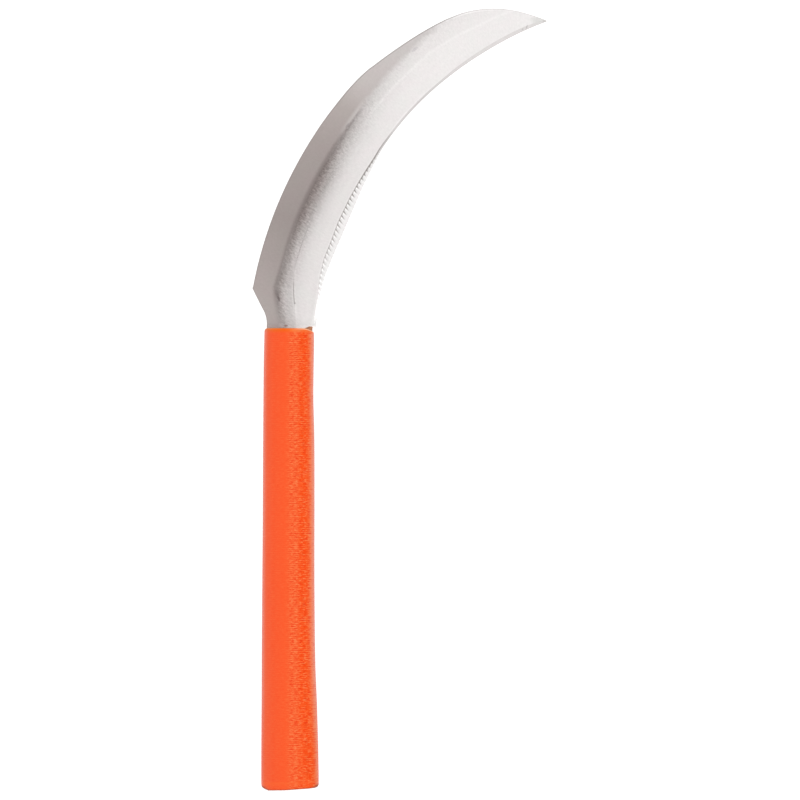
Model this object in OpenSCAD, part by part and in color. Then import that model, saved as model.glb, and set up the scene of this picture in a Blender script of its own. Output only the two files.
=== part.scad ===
// Small harvest sickle with a saw-toothed root and a plain-edged hook.
// One steel sheet is blade and tang. Two wooden halves are pinned over the
// tang, and a vinyl sleeve with a closed butt is drawn over the wood.
// It lies on the back of its grip. +Y runs along the grip to the blade, +X to
// the cutting side and +Z out of the blade's front face. Millimetres.

/* [Grip] */
// Length of the grip from its mouth to its butt, on the centre line
grip_len = 201; // [150:1:260]
// Thickness of the grip from its front flat to its back flat
grip_t = 15; // [12:0.5:20]
// Rounding of the grip's four long edges
grip_edge_r = 5; // [4:0.25:5.75]
// Centre line to the heel side, at the mouth
heel_side_mouth = 10.9; // [9.5:0.1:14]
// Centre line to the cutting side, at the mouth
cut_side_mouth = 10.6; // [9.5:0.1:14]
// Centre line to the heel side, where the flare begins
heel_side_waist = 12.1; // [9.5:0.1:15]
// Centre line to the cutting side, where the flare begins
cut_side_waist = 10.7; // [9.5:0.1:15]
// Centre line to the heel side, at the butt
heel_side_butt = 12.1; // [9.5:0.1:18]
// Centre line to the cutting side, at the butt
cut_side_butt = 12.4; // [9.5:0.1:18]
// Length of the flared rear of the grip
flare_len = 80; // [30:1:110]
// Slope of the butt across the grip, in degrees
butt_slope = 4; // [0:0.5:10]
// Rounding of the butt's rim
butt_r = 2; // [0.5:0.25:2.5]

/* [Sleeve] */
// Wall of the vinyl sleeve
sleeve_wall = 0.7; // [0.4:0.05:1.2]
// Thickness of the sleeve's closed end
sleeve_end = 1.2; // [0.6:0.1:3]
// Gap between the sleeve and the wood
sleeve_fit = 0.05; // [0.02:0.01:0.2]

/* [Wood] */
// Glue line between each wooden half and the tang
glue_line = 0.05; // [0.02:0.01:0.2]
// How far the wood stops inside the mouth, on the heel side
wood_set = 0.8; // [0.6:0.1:3]
// How far the front half's corner stands out of the mouth, on the cutting side
wood_peek = 0.9; // [0:0.1:2]

/* [Pins] */
// Diameter of the three pins
pin_d = 3.2; // [2:0.1:5]
// Gap round a pin in its hole
pin_fit = 0.03; // [0.02:0.01:0.1]
// Mouth to the front pin
pin_front_set = 18; // [10:1:40]
// Butt to the rear pin
pin_rear_set = 24; // [14:1:50]

/* [Tang] */
// Step from the wood's side in to the tang's side
tang_step = 0.3; // [0.1:0.05:1.5]
// Butt to the end of the tang
tang_short = 5; // [4:0.5:9]

/* [Blade outline] */
// Thickness of the steel sheet
sheet_t = 1.5; // [1:0.1:2.5]
// Centre line to the heel's corner
heel_x = 15.8; // [12.5:0.1:20]
// Mouth to the heel's corner
heel_y = 18.2; // [15:0.1:24]
// Centre line to the shoulder, where the back bends into the hook
shoulder_x = 35; // [32:0.5:40]
// Mouth to the shoulder
shoulder_y = 114; // [104:0.5:120]
// Centre line to the crown, where the back turns over to the nose
crown_x = 73.7; // [68:0.1:80]
// Mouth to the crown
crown_y = 137.6; // [130:0.1:150]
// Centre line to the point
tip_x = 112.8; // [105:0.1:125]
// Mouth to the point
tip_y = 134.4; // [125:0.1:137]
// Radius of the back, from the heel to the shoulder
back_r = 181; // [160:1:215]
// Radius of the hook's back, from the shoulder to the crown
hook_r = 158; // [110:1:200]
// Radius of the nose, from the crown to the point
nose_r = 50; // [42:1:70]
// Centre line to the cutting edge, at the mouth
root_x = 10.4; // [9.9:0.1:11.5]
// Gap between the blade's shoulder and the sleeve's rim
root_gap = 0.2; // [0.1:0.05:1]
// Centre line to the end of the teeth
saw_end_x = 39.5; // [36:0.5:42]
// Mouth to the end of the teeth
saw_end_y = 77.8; // [72:0.2:84]
// Radius of the toothed edge
saw_r = 226; // [180:1:320]
// Radius of the plain edge, from the teeth to the point
plain_r = 151; // [135:0.5:170]
// Radius of the hollow between the heel and the tang
neck_r = 12; // [8:0.5:14]
// Mouth to the foot of that hollow
neck_y = 2.4; // [1:0.1:4]

/* [Blade grinding] */
// Width of the unground band along the back
band_w = 10.5; // [6:0.5:13]
// Width of the hollow-ground face, from the band to the foot of the grind
ground_w = 17; // [12:0.5:22]
// Sheet left at the foot of the ground face
ground_t = 0.5; // [0.35:0.05:0.9]
// Depth of the hollow below a straight slope
hollow = 0.15; // [0.05:0.01:0.25]
// Mouth to the end of the ground face, where it meets the band
runout_y = 12.5; // [6:0.5:14]
// Centre line to the end of the ground face, at the mouth
runout_x = 3.5; // [-1:0.5:5]
// Sheet left at the cutting edge
edge_t = 0.12; // [0.05:0.01:0.25]
// Width of the bevel along the teeth
saw_bevel_w = 2.8; // [1.5:0.1:4]
// Width of the bevel along the plain edge
plain_bevel_w = 1.2; // [0.6:0.1:3]
// Distance from tooth to tooth
tooth_pitch = 2.2; // [1.4:0.1:4]
// Depth of the gullets
tooth_depth = 0.6; // [0.3:0.05:1.2]
// Mouth side's share of a tooth, small where the tooth leans to the grip
tooth_lean = 0.3; // [0.1:0.05:0.9]

/* [Hidden] */

// Longest chord on the outline's arcs
arc_step = 1.5;
// Thickness of the slices that the grip's hulls span
slice_t = 0.02;
// Facets of the grip's rounded edges
round_fn = 32;
// Facets of pins and revolved steel, which stay true curves
fine_fn = 96;
// How far cutters and open ends run past what they cut
over = 2;
// How far the flat tang laps up into the blade
neck_lap = 0.5;
// Straight steps that the hollow is made of
hollow_steps = 6;

// Radius of the line between the band and the ground face, about the back's centre
ridge_r = back_r - band_w;

// Surfaces nested inside the grip, each measured in from its outside
wood_in = sleeve_wall + sleeve_fit;
tang_in = wood_in + tang_step;
wood_t = grip_t - 2 * wood_in;
wood_end = sleeve_end + sleeve_fit;
waist_y = flare_len - grip_len;

// Corners of the blade's outline, from the middle of the mouth
neck_side = tang_in - heel_side_mouth;
tang_side = cut_side_mouth - tang_in;
heel = [-heel_x, heel_y];
shoulder = [shoulder_x, shoulder_y];
crown = [crown_x, crown_y];
tip = [tip_x, tip_y];
saw_end = [saw_end_x, saw_end_y];
root = [root_x, root_gap];

// The hollow of the neck ends where a line from the heel touches it
neck_c = [neck_side - neck_r, neck_y];
neck_a = atan2(heel[1] - neck_c[1], heel[0] - neck_c[0]) - acos(neck_r / norm(heel - neck_c));
neck_touch = neck_c + neck_r * [cos(neck_a), sin(neck_a)];

// Centres of the outline's arcs
back_c = arc_centre(heel, shoulder, back_r);
hook_c = arc_centre(shoulder, crown, hook_r);
nose_c = arc_centre(crown, tip, nose_r);
plain_c = arc_centre(saw_end, tip, plain_r);
saw_c = arc_centre(root, saw_end, saw_r);

// Teeth that fit between the root and the end of the toothed edge
saw_from = angle_of(root, saw_c);
saw_sweep = angle_of(saw_end, saw_c) - saw_from;
teeth = floor(abs(saw_sweep) * PI / 180 * saw_r / tooth_pitch);
tooth_sweep = saw_sweep / teeth;

// Places of the pins along the grip, measured back from the mouth
pin_front_y = -pin_front_set;
pin_rear_y = pin_rear_set - grip_len;
pin_middle_y = (pin_front_y + pin_rear_y) / 2;

// Centre of the arc from p to q with radius r, on the right of the way from p to q
function arc_centre(p, q, r) =
    let (way = (q - p) / norm(q - p))
    (p + q) / 2 + sqrt(r * r - (q - p) * (q - p) / 4) * [way[1], -way[0]];

// Direction of p seen from c, in degrees
function angle_of(p, c) = atan2(p[1] - c[1], p[0] - c[0]);

// Points of the arc from p up to q about c, without q itself
function arc_points(p, q, c) =
    let (
        from = angle_of(p, c),
        sweep = angle_of(q, c) - from,
        r = norm(p - c),
        n = ceil(abs(sweep) * PI / 180 * r / arc_step)
    )
    [for (i = [0 : n - 1]) c + r * [cos(from + sweep * i / n), sin(from + sweep * i / n)]];

// Point of the toothed edge, counted in teeth from the root
function saw_point(count, depth) =
    let (a = saw_from + tooth_sweep * count)
    saw_c + (saw_r + depth) * [cos(a), sin(a)];

// Tips and gullets from the hook back to the root
function saw_points() = [
    for (i = [teeth - 1 : -1 : 0]) each [
        saw_point(i + tooth_lean, 0),
        saw_point(i, i == 0 ? 0 : tooth_depth)
    ]
];

// Outline of the blade ahead of the mouth
function blade_outline() = concat(
    [[neck_side, 0]],
    arc_points([neck_side, neck_y], neck_touch, neck_c),
    [neck_touch],
    arc_points(heel, shoulder, back_c),
    arc_points(shoulder, crown, hook_c),
    arc_points(crown, tip, nose_c),
    arc_points(tip, saw_end, plain_c),
    [saw_end],
    saw_points(),
    [[tang_side, root_gap], [tang_side, 0]]
);

// Outline of the tang, which follows the grip, and of the flat neck beside the
// end of the ground face
function tang_outline() = [
    [neck_side, neck_y],
    [back_c[0] - sqrt(ridge_r * ridge_r - pow(runout_y - back_c[1], 2)), runout_y],
    [runout_x, neck_lap],
    [tang_side, neck_lap],
    [cut_side_waist - tang_in, waist_y],
    [cut_side_butt - tang_in, tang_short - grip_len],
    [tang_in - heel_side_butt, tang_short - grip_len],
    [tang_in - heel_side_waist, waist_y]
];

// Section of the ground sheet, as radius from the back's centre and height from
// the middle of the sheet
function sheet_section() =
    let (
        half = sheet_t / 2,
        foot = [ridge_r - ground_w, ground_t - half],
        crest = [ridge_r, half]
    )
    concat(
        [[back_r + over, half], [back_r + over, -half]],
        [[back_r / 2, -half], [back_r / 2, ground_t - half]],
        [for (i = [0 : hollow_steps]) let (t = i / hollow_steps)
            foot + t * (crest - foot) - [0, 4 * hollow * t * (1 - t)]]
    );

// Section of a bevel's cutter over an edge of radius r
function bevel_section(r, bevel_w) =
    let (
        rise = (ground_t - edge_t) / bevel_w,
        reach = bevel_w + over,
        foot = edge_t - sheet_t / 2
    )
    [
        [r - over, foot - over * rise],
        [r + reach, foot + reach * rise],
        [r + reach, sheet_t],
        [r - over, sheet_t]
    ];

// Moves a piece from the mouth's frame to the middle of the grip's back
module from_mouth() translate([0, grip_len / 2, grip_t / 2]) children();

// One slice across the grip: four corner discs whose far face is at y
module grip_slice(y, heel_side, cut_side, r) {
    lift = grip_t / 2 - grip_edge_r;
    for (x = [grip_edge_r - heel_side, cut_side - grip_edge_r], z = [-lift, lift])
        translate([x, y + slice_t, z])
            rotate([90, 0, 0]) cylinder(r = r, h = slice_t, $fn = round_fn);
}

// The grip's form, drawn in by inset all round and by end_in at the butt
module grip_form(inset, end_in, front) {
    r = grip_edge_r - inset;
    rim_r = max(0.3, butt_r - inset);
    hull() {
        grip_slice(front - slice_t, heel_side_mouth, cut_side_mouth, r);
        grip_slice(waist_y, heel_side_waist, cut_side_waist, r);
    }
    hull() {
        grip_slice(waist_y, heel_side_waist, cut_side_waist, r);
        translate([0, -grip_len, 0]) rotate([0, 0, butt_slope])
            for (a = [0 : 22.5 : 90])
                grip_slice(end_in + rim_r * (1 - sin(a)), heel_side_butt, cut_side_butt,
                           r - rim_r * (1 - cos(a)));
    }
}

// Round holes or pins down through the sheet and the wood
module pin_at(y, d, h) translate([0, y, 0]) cylinder(d = d, h = h, center = true, $fn = fine_fn);

// The three pin holes
module pin_holes() {
    for (y = [pin_front_y, pin_middle_y, pin_rear_y])
        pin_at(y, pin_d + 2 * pin_fit, grip_t);
}

// A solid turned about an upright axis through c
module turned(c) translate([c[0], c[1], 0]) rotate_extrude($fn = fine_fn * 4) children();

// Bevel cutter over the edge about c, kept to the stretch from y_low to y_high
module bevel_cut(c, r, bevel_w, y_low, y_high) {
    intersection() {
        turned(c) polygon(bevel_section(r, bevel_w));
        translate([0, y_low, -sheet_t])
            cube([tip_x + over, y_high - y_low, 3 * sheet_t]);
    }
}

// Blade and tang, one stamped and ground steel sheet
module blade() {
    color("#BDB8B4") from_mouth() difference() {
        union() {
            intersection() {
                turned(back_c) polygon(sheet_section());
                translate([0, 0, -sheet_t])
                    linear_extrude(2 * sheet_t) polygon(blade_outline());
            }
            translate([0, 0, -sheet_t / 2]) linear_extrude(sheet_t) polygon(tang_outline());
        }
        bevel_cut(saw_c, saw_r, saw_bevel_w, neck_lap, saw_end_y);
        bevel_cut(plain_c, plain_r, plain_bevel_w, saw_end_y, crown_y + over);
        pin_holes();
    }
}

// Wood on one side of the tang, up to a front end cut from the heel side to
// the cutting side
module scale_half(side, heel_end, cut_end) {
    slope = (cut_end - heel_end) / (heel_side_mouth + cut_side_mouth);
    wide = 2 * (heel_side_butt + cut_side_butt);
    inner = sheet_t / 2 + glue_line;
    difference() {
        intersection() {
            grip_form(wood_in, wood_end, over);
            translate([0, 0, side > 0 ? inner : -grip_t])
                linear_extrude(grip_t - inner) polygon([
                    [-wide, -grip_len - over],
                    [wide, -grip_len - over],
                    [wide, cut_end + slope * (wide - cut_side_mouth)],
                    [-wide, heel_end - slope * (wide - heel_side_mouth)]
                ]);
        }
        pin_holes();
    }
}

// Front half of the wood, whose corner shows at the mouth
module scale_front() color("#B27C55") from_mouth() scale_half(1, -wood_set, wood_peek);

// Back half of the wood
module scale_back() color("#A56F4A") from_mouth() scale_half(-1, -wood_set, -wood_set);

// Steel pin, peened flush with the wood at both ends
module pin(y) color("#8E8C8A") from_mouth() pin_at(y, pin_d, wood_t);

// Vinyl sleeve with its closed butt
module grip_sleeve() {
    color("#FA5F32") from_mouth() difference() {
        grip_form(0, 0, 0);
        grip_form(sleeve_wall, sleeve_end, over);
    }
}

blade();
scale_front();
scale_back();
pin(pin_front_y);  // pin_front
pin(pin_middle_y);  // pin_middle
pin(pin_rear_y);  // pin_rear
grip_sleeve();
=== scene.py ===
"""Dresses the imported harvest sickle: a ground and toothed blade, pinned wood and a ribbed vinyl sleeve.

Pieces are worked out in millimetres in the mouth's frame, whose origin is the middle of the sleeve's
mouth, with +Y toward the blade, +X toward the cutting side and +Z out of the blade's front face.
They are placed, in metres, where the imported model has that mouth.
"""
import logging
import math
from bisect import bisect_left
from dataclasses import dataclass, field, fields, replace
from enum import Enum
from functools import cached_property
from typing import Iterable, Sequence

import bmesh
import bpy
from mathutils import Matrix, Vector, noise


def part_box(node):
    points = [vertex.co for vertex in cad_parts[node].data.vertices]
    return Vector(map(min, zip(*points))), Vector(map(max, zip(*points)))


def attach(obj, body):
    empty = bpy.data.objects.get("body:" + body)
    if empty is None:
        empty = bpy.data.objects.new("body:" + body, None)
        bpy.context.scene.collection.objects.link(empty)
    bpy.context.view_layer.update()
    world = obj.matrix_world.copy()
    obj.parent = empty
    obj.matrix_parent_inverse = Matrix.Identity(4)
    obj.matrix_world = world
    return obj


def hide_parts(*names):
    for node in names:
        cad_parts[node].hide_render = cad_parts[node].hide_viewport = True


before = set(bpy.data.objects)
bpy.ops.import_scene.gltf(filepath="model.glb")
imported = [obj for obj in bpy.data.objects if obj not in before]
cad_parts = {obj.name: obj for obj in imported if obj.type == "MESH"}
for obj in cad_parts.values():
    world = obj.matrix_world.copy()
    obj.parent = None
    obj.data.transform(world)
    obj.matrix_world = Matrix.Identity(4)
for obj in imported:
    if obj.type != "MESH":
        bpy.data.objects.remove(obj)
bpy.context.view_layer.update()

LOG = logging.getLogger("sickle")
BODY = "root"
MM = 0.001
Point = tuple[float, float]
Place = tuple[float, float, float]
Colour = tuple[float, float, float]
Stops = tuple[tuple[float, Colour], ...]
Socket = bpy.types.NodeSocket
Value = Socket | float
Paint = Socket | Colour
Given = Value | Colour
Sockets = dict[str, Socket]


class Slot(Enum):
    """The record's material slots."""

    STEEL = "blade_steel"
    WOOD = "grip_wood"
    PIN = "pin_steel"
    VINYL = "sleeve_vinyl"


class Face(Enum):
    """The two faces of the sheet, as the sign of Z."""

    FRONT = 1
    BACK = -1


class Trace(Enum):
    """What a piece's mesh tells its finish, one number a vertex."""

    ALONG = "along"
    PAST_RIDGE = "past_ridge"
    PAST_LINE = "past_line"
    PAST_BEVEL = "past_bevel"
    FROM_BACK = "from_back"
    NOTCH = "notch"
    RIB = "rib"
    LIP = "lip"
    BUTT = "butt"


def clamp(value: float, low: float, high: float) -> float:
    """The value, kept between low and high."""
    return min(max(value, low), high)


def ease(value: float, low: float, high: float) -> float:
    """Rises smoothly from 0, at low, to 1, at high."""
    share = clamp((value - low) / (high - low), 0.0, 1.0)
    return share * share * (3 - 2 * share)


def blend(start: float, end: float, share: float) -> float:
    """Value at a share of the way from start to end."""
    return start + (end - start) * share


def spread(start: float, end: float, steps: int) -> list[float]:
    """Even values from start to end, both of them included."""
    return [blend(start, end, i / steps) for i in range(steps + 1)]


def tone(red: float, green: float, blue: float) -> Colour:
    """Turns a display colour, as 0 to 255, into a shader's linear one.

    Args:
        red: Display level of red.
        green: Display level of green.
        blue: Display level of blue.

    Returns:
        The linear colour.
    """
    shares = [value / 255 for value in (red, green, blue)]
    linear = [s / 12.92 if s <= 0.04045 else ((s + 0.055) / 1.055) ** 2.4 for s in shares]
    return linear[0], linear[1], linear[2]


def grey(level: float, warmth: float) -> Colour:
    """A grey of a display level from 0 to 255, by warmth redder than it is green and blue."""
    return tone(level + warmth, level - 0.3 * warmth, level - 0.7 * warmth)


def bearing_of(point: Point, centre: Point) -> float:
    """Direction of a point seen from a centre, in degrees."""
    return math.degrees(math.atan2(point[1] - centre[1], point[0] - centre[0]))


def polar(centre: Point, radius: float, bearing: float) -> Point:
    """Point at a radius and a bearing, in degrees, from a centre."""
    turn = math.radians(bearing)
    return centre[0] + radius * math.cos(turn), centre[1] + radius * math.sin(turn)


def arc_centre(start: Point, end: Point, radius: float) -> Point:
    """Centre of an arc, on the right of the way between its ends.

    Args:
        start: First point of the arc.
        end: Last point of the arc.
        radius: Radius of the arc.

    Returns:
        The centre.
    """
    way = Vector(end) - Vector(start)
    middle = (Vector(end) + Vector(start)) / 2
    rise = math.sqrt(radius * radius - way.length_squared / 4)
    off = Vector((way.y, -way.x)).normalized() * rise
    return middle.x + off.x, middle.y + off.y


def arc(start: Point, end: Point, radius: float, step: float = 0.8) -> list[Point]:
    """Points of an arc that bulges to the left of the way from start to end.

    Args:
        start: First point.
        end: Last point.
        radius: Radius of the arc.
        step: Longest chord.

    Returns:
        The points, with both ends.
    """
    centre = arc_centre(start, end, radius)
    first, last = bearing_of(start, centre), bearing_of(end, centre)
    count = math.ceil(abs(math.radians(last - first)) * radius / step)
    return [polar(centre, radius, bearing) for bearing in spread(first, last, count)]


def curve_through(points: Sequence[Point], steps: int = 12) -> list[Point]:
    """Points of a smooth curve that passes through each given point.

    Args:
        points: Points chosen along the line.
        steps: Pieces between one given point and the next.

    Returns:
        The points of the curve, with both ends.
    """
    ends = [Vector(p) for p in points]
    ends = [2 * ends[0] - ends[1], *ends, 2 * ends[-1] - ends[-2]]
    made = [points[0]]
    for before, start, end, after in zip(ends, ends[1:], ends[2:], ends[3:]):
        for t in spread(0, 1, steps)[1:]:
            pull = 2 * start + (end - before) * t + (2 * before - 5 * start + 4 * end - after) * t**2
            spot = (pull + (3 * start - before - 3 * end + after) * t**3) / 2
            made.append((spot.x, spot.y))
    return made


@dataclass(frozen=True)
class Course:
    """A value that follows another along straight stretches between chosen places."""

    places: tuple[float, ...]
    values: tuple[float, ...]

    @classmethod
    def through(cls, pairs: Iterable[Point]) -> "Course":
        """Course through (place, value) pairs in any order."""
        ordered = sorted(pairs)
        return cls(tuple(p for p, _ in ordered), tuple(v for _, v in ordered))

    def at(self, place: float) -> float:
        """Reads the course.

        Args:
            place: Where to read it.

        Returns:
            The value there, and the end's own value past either end.
        """
        i = int(clamp(bisect_left(self.places, place), 1, len(self.places) - 1))
        gap = max(self.places[i] - self.places[i - 1], 1e-9)
        share = clamp((place - self.places[i - 1]) / gap, 0.0, 1.0)
        return blend(self.values[i - 1], self.values[i], share)


@dataclass(frozen=True)
class Mouth:
    """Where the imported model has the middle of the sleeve's mouth, in metres."""

    origin: Vector

    @classmethod
    def of(cls, node: str) -> "Mouth":
        """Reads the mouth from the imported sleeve's box."""
        low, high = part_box(node)
        return cls(Vector((0.0, high.y, (low.z + high.z) / 2)))

    def place(self, point: Place) -> Vector:
        """A point of the mouth's frame, in millimetres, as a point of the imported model."""
        return self.origin + Vector(point) * MM


@dataclass
class Shell:
    """A closed mesh in the making: places in millimetres, faces, and traces for the finish."""

    places: list[Place] = field(default_factory=list)
    faces: list[tuple[int, ...]] = field(default_factory=list)
    traces: dict[Trace, list[float]] = field(default_factory=dict)

    def add(self, place: Place, **told: float) -> int:
        """Adds a vertex.

        Args:
            place: Where it is, in the mouth's frame.
            told: Its traces, by the values of Trace.

        Returns:
            The vertex's number.
        """
        self.places.append(place)
        for name, value in told.items():
            self.traces.setdefault(Trace(name), []).append(value)
        return len(self.places) - 1

    def strip(self, one: Sequence[int], other: Sequence[int], closed: bool = False) -> None:
        """Joins two rows of vertices with faces.

        Args:
            one: The first row.
            other: The next row, as long as the first.
            closed: Whether the rows run round.
        """
        count = len(one)
        for i in range(count if closed else count - 1):
            j = (i + 1) % count
            self.faces.append((one[i], one[j], other[j], other[i]))

    def skin(self, rings: Sequence[Sequence[int]]) -> None:
        """Joins rings into a closed skin, with a face over the first ring and over the last.

        Args:
            rings: The rings in order, all of the same length.
        """
        for one, other in zip(rings, rings[1:]):
            self.strip(one, other, closed=True)
        self.faces += [tuple(rings[0]), tuple(rings[-1])]

    def finish(self, name: str, mouth: Mouth, sharp: float) -> bpy.types.Object:
        """Makes the Blender object.

        Args:
            name: Name of the piece.
            mouth: Where the mouth's frame lies.
            sharp: Least angle between faces, in degrees, that keeps its edge crisp.

        Returns:
            The object, linked into the scene.
        """
        mesh = bpy.data.meshes.new(name)
        mesh.from_pydata([mouth.place(p) for p in self.places], [], self.faces)
        for trace, values in self.traces.items():
            kept = mesh.attributes.new(trace.value, "FLOAT", "POINT")
            kept.data.foreach_set("value", values)
        solid = bmesh.new()
        solid.from_mesh(mesh)
        bmesh.ops.recalc_face_normals(solid, faces=solid.faces)
        solid.to_mesh(mesh)
        solid.free()
        mesh.shade_smooth()
        mesh.set_sharp_from_angle(angle=math.radians(sharp))
        return linked(name, mesh)


def linked(name: str, data: bpy.types.ID) -> bpy.types.Object:
    """Puts data into the scene as a new object.

    Args:
        name: Name of the object.
        data: Its mesh, camera or light.

    Returns:
        The object.
    """
    made = bpy.data.objects.new(name, data)
    bpy.context.scene.collection.objects.link(made)
    return made


@dataclass(frozen=True)
class PinHoles:
    """The holes for the three pins, on the grip's centre line."""

    mouth: Mouth
    spots: tuple[float, ...] = (-18.0, -97.5, -177.0)
    radius: float = 1.63
    depth: float = 40.0
    facets: int = 48

    def drill(self, piece: bpy.types.Object) -> None:
        """Cuts the holes down through a piece.

        Args:
            piece: The piece to drill.
        """
        cutter = bmesh.new()
        for y in self.spots:
            made = bmesh.ops.create_cone(cutter, cap_ends=True, segments=self.facets,
                                         radius1=self.radius * MM, radius2=self.radius * MM,
                                         depth=self.depth * MM)
            bmesh.ops.translate(cutter, verts=made["verts"], vec=self.mouth.place((0.0, y, 0.0)))
        mesh = bpy.data.meshes.new("drill")
        cutter.to_mesh(mesh)
        cutter.free()
        tool = linked("drill", mesh)
        cut = piece.modifiers.new("drill", "BOOLEAN")
        cut.operation = "DIFFERENCE"
        cut.object = tool
        cut.solver = "EXACT"
        bpy.context.view_layer.objects.active = piece
        with bpy.context.temp_override(object=piece, active_object=piece):
            bpy.ops.object.modifier_apply(modifier=cut.name)
        bpy.data.objects.remove(tool)


@dataclass(frozen=True)
class Span:
    """Where a mask rises from 0, is full, stays full, and has fallen to 0 again."""

    low: float
    full: float
    still: float
    high: float


class Graph:
    """Short calls for building a node tree."""

    def __init__(self, tree: bpy.types.NodeTree) -> None:
        """Empties the tree and keeps it."""
        self.tree = tree
        tree.nodes.clear()

    def node(self, kind: str, **settings: object) -> bpy.types.Node:
        """Adds a node.

        Args:
            kind: Its kind, such as TexNoise.
            settings: Its options.

        Returns:
            The node.
        """
        made = self.tree.nodes.new("ShaderNode" + kind)
        for name, value in settings.items():
            setattr(made, name, value)
        return made

    def put(self, socket: Socket, value: Given) -> None:
        """Links a socket into an input, or sets the input to a plain value.

        Args:
            socket: The input.
            value: A socket, a number or a colour.
        """
        if isinstance(value, Socket):
            self.tree.links.new(value, socket)
        else:
            socket.default_value = (*value, 1.0) if socket.type == "RGBA" else value

    def feed(self, node: bpy.types.Node, *values: Given) -> bpy.types.Node:
        """Puts values into a node's inputs.

        Args:
            node: The node.
            values: What its first inputs are given, in order.

        Returns:
            The same node.
        """
        for socket, value in zip(node.inputs, values):
            self.put(socket, value)
        return node

    def give(self, node: bpy.types.Node, **values: Given) -> bpy.types.Node:
        """Puts values into a node's inputs by name.

        Args:
            node: The node.
            values: What its inputs are given, by their names with _ for a space.

        Returns:
            The same node.
        """
        for name, value in values.items():
            self.put(node.inputs[name.replace("_", " ")], value)
        return node

    def math(self, operation: str, *values: Value) -> Socket:
        """One step of arithmetic on up to three values."""
        return self.feed(self.node("Math", operation=operation), *values).outputs[0]

    def times(self, one: Value, other: Value) -> Socket:
        """Product of two values."""
        return self.math("MULTIPLY", one, other)

    def scaled(self, value: Value, gain: Value, base: Value) -> Socket:
        """A value times a gain, on top of a base."""
        return self.math("MULTIPLY_ADD", value, gain, base)

    def over(self, value: Value, part: Value) -> Socket:
        """A value divided by another."""
        return self.math("DIVIDE", value, part)

    def kept(self, value: Value, low: float, high: float) -> Socket:
        """The value, kept between low and high."""
        return self.math("MINIMUM", self.math("MAXIMUM", value, low), high)

    def trace(self, trace: Trace) -> Socket:
        """What the mesh tells under a trace's name."""
        return self.node("Attribute", attribute_name=trace.value).outputs["Fac"]

    def rise(self, value: Value, low: Value, high: Value) -> Socket:
        """Eases from 0 at low to 1 at high, or falls where low is above high."""
        made = self.node("MapRange", interpolation_type="SMOOTHSTEP")
        return self.feed(made, value, low, high).outputs["Result"]

    def hump(self, value: Value, low: float, peak: float, high: float) -> Socket:
        """Rises from low to its peak and falls again to high."""
        return self.times(self.rise(value, low, peak), self.rise(value, high, peak))

    def span(self, value: Value, span: Span) -> Socket:
        """Rises to 1, stays there and falls again."""
        return self.times(self.rise(value, span.low, span.full), self.rise(value, span.high, span.still))

    def mix(self, share: Value, start: Paint, end: Paint, blend_type: str = "MIX") -> Socket:
        """Mixes two colours.

        Args:
            share: How much of the second there is.
            start: The first colour.
            end: The second colour.
            blend_type: How the second is laid over the first.

        Returns:
            The mixed colour.
        """
        made = self.node("Mix", data_type="RGBA", blend_type=blend_type)
        for number, given in ((0, share), (6, start), (7, end)):
            self.put(made.inputs[number], given)
        return made.outputs[2]

    def lay(self, colour: Paint, mask: Value, strength: Value, over: Paint) -> Socket:
        """Lays a colour over another, where a mask is and at a strength."""
        return self.mix(self.times(mask, strength), colour, over)

    def lit(self, colour: Paint, gain: Value) -> Socket:
        """The colour, lighter or darker by a gain."""
        return self.give(self.node("HueSaturation"), Value=gain, Color=colour).outputs[0]

    def ramp(self, value: Value, stops: Sequence[tuple[float, Colour]]) -> Socket:
        """Colour read from stops.

        Args:
            value: Where the ramp is read.
            stops: A place and a colour each, in order.

        Returns:
            The colour there.
        """
        made = self.node("ValToRGB")
        band = made.color_ramp
        while len(band.elements) < len(stops):
            band.elements.new(1.0)
        for element, (place, colour) in zip(band.elements, stops):
            element.position = place
            element.color = (*colour, 1.0)
        return self.feed(made, value).outputs[0]

    def course(self, value: Value, stops: Sequence[Point]) -> Socket:
        """Number read from stops of (place, number)."""
        return self.ramp(value, [(place, (number, number, number)) for place, number in stops])

    def split(self, vector: Socket) -> tuple[Socket, ...]:
        """The X, Y and Z of a vector."""
        return tuple(self.feed(self.node("SeparateXYZ"), vector).outputs)

    def place(self, origin: Iterable[float] = (0.0, 0.0, 0.0)) -> list[Socket]:
        """X, Y and Z of the surface, in millimetres from an origin that is given in metres."""
        parts = self.split(self.node("TexCoord").outputs["Object"])
        return [self.over(self.math("SUBTRACT", p, start), MM) for p, start in zip(parts, origin)]

    def noise(self, where: Socket, scale: Value, detail: float = 2.0) -> Socket:
        """Soft noise from 0 to 1 at a place."""
        made = self.give(self.node("TexNoise"), Vector=where, Scale=scale, Detail=detail)
        return made.outputs["Fac"]

    def group(self, tree: bpy.types.NodeTree, **inputs: Value) -> bpy.types.NodeOutputs:
        """Places a node group, sets its inputs by name and returns its outputs."""
        return self.give(self.node("Group", node_tree=tree), **inputs).outputs

    def bump(self, height: Socket, strength: float, depth: float) -> Socket:
        """A normal that follows a height from 0 to 1, whose full rise is depth in metres."""
        made = self.give(self.node("Bump"), Strength=strength, Distance=depth, Height=height)
        return made.outputs["Normal"]


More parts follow.
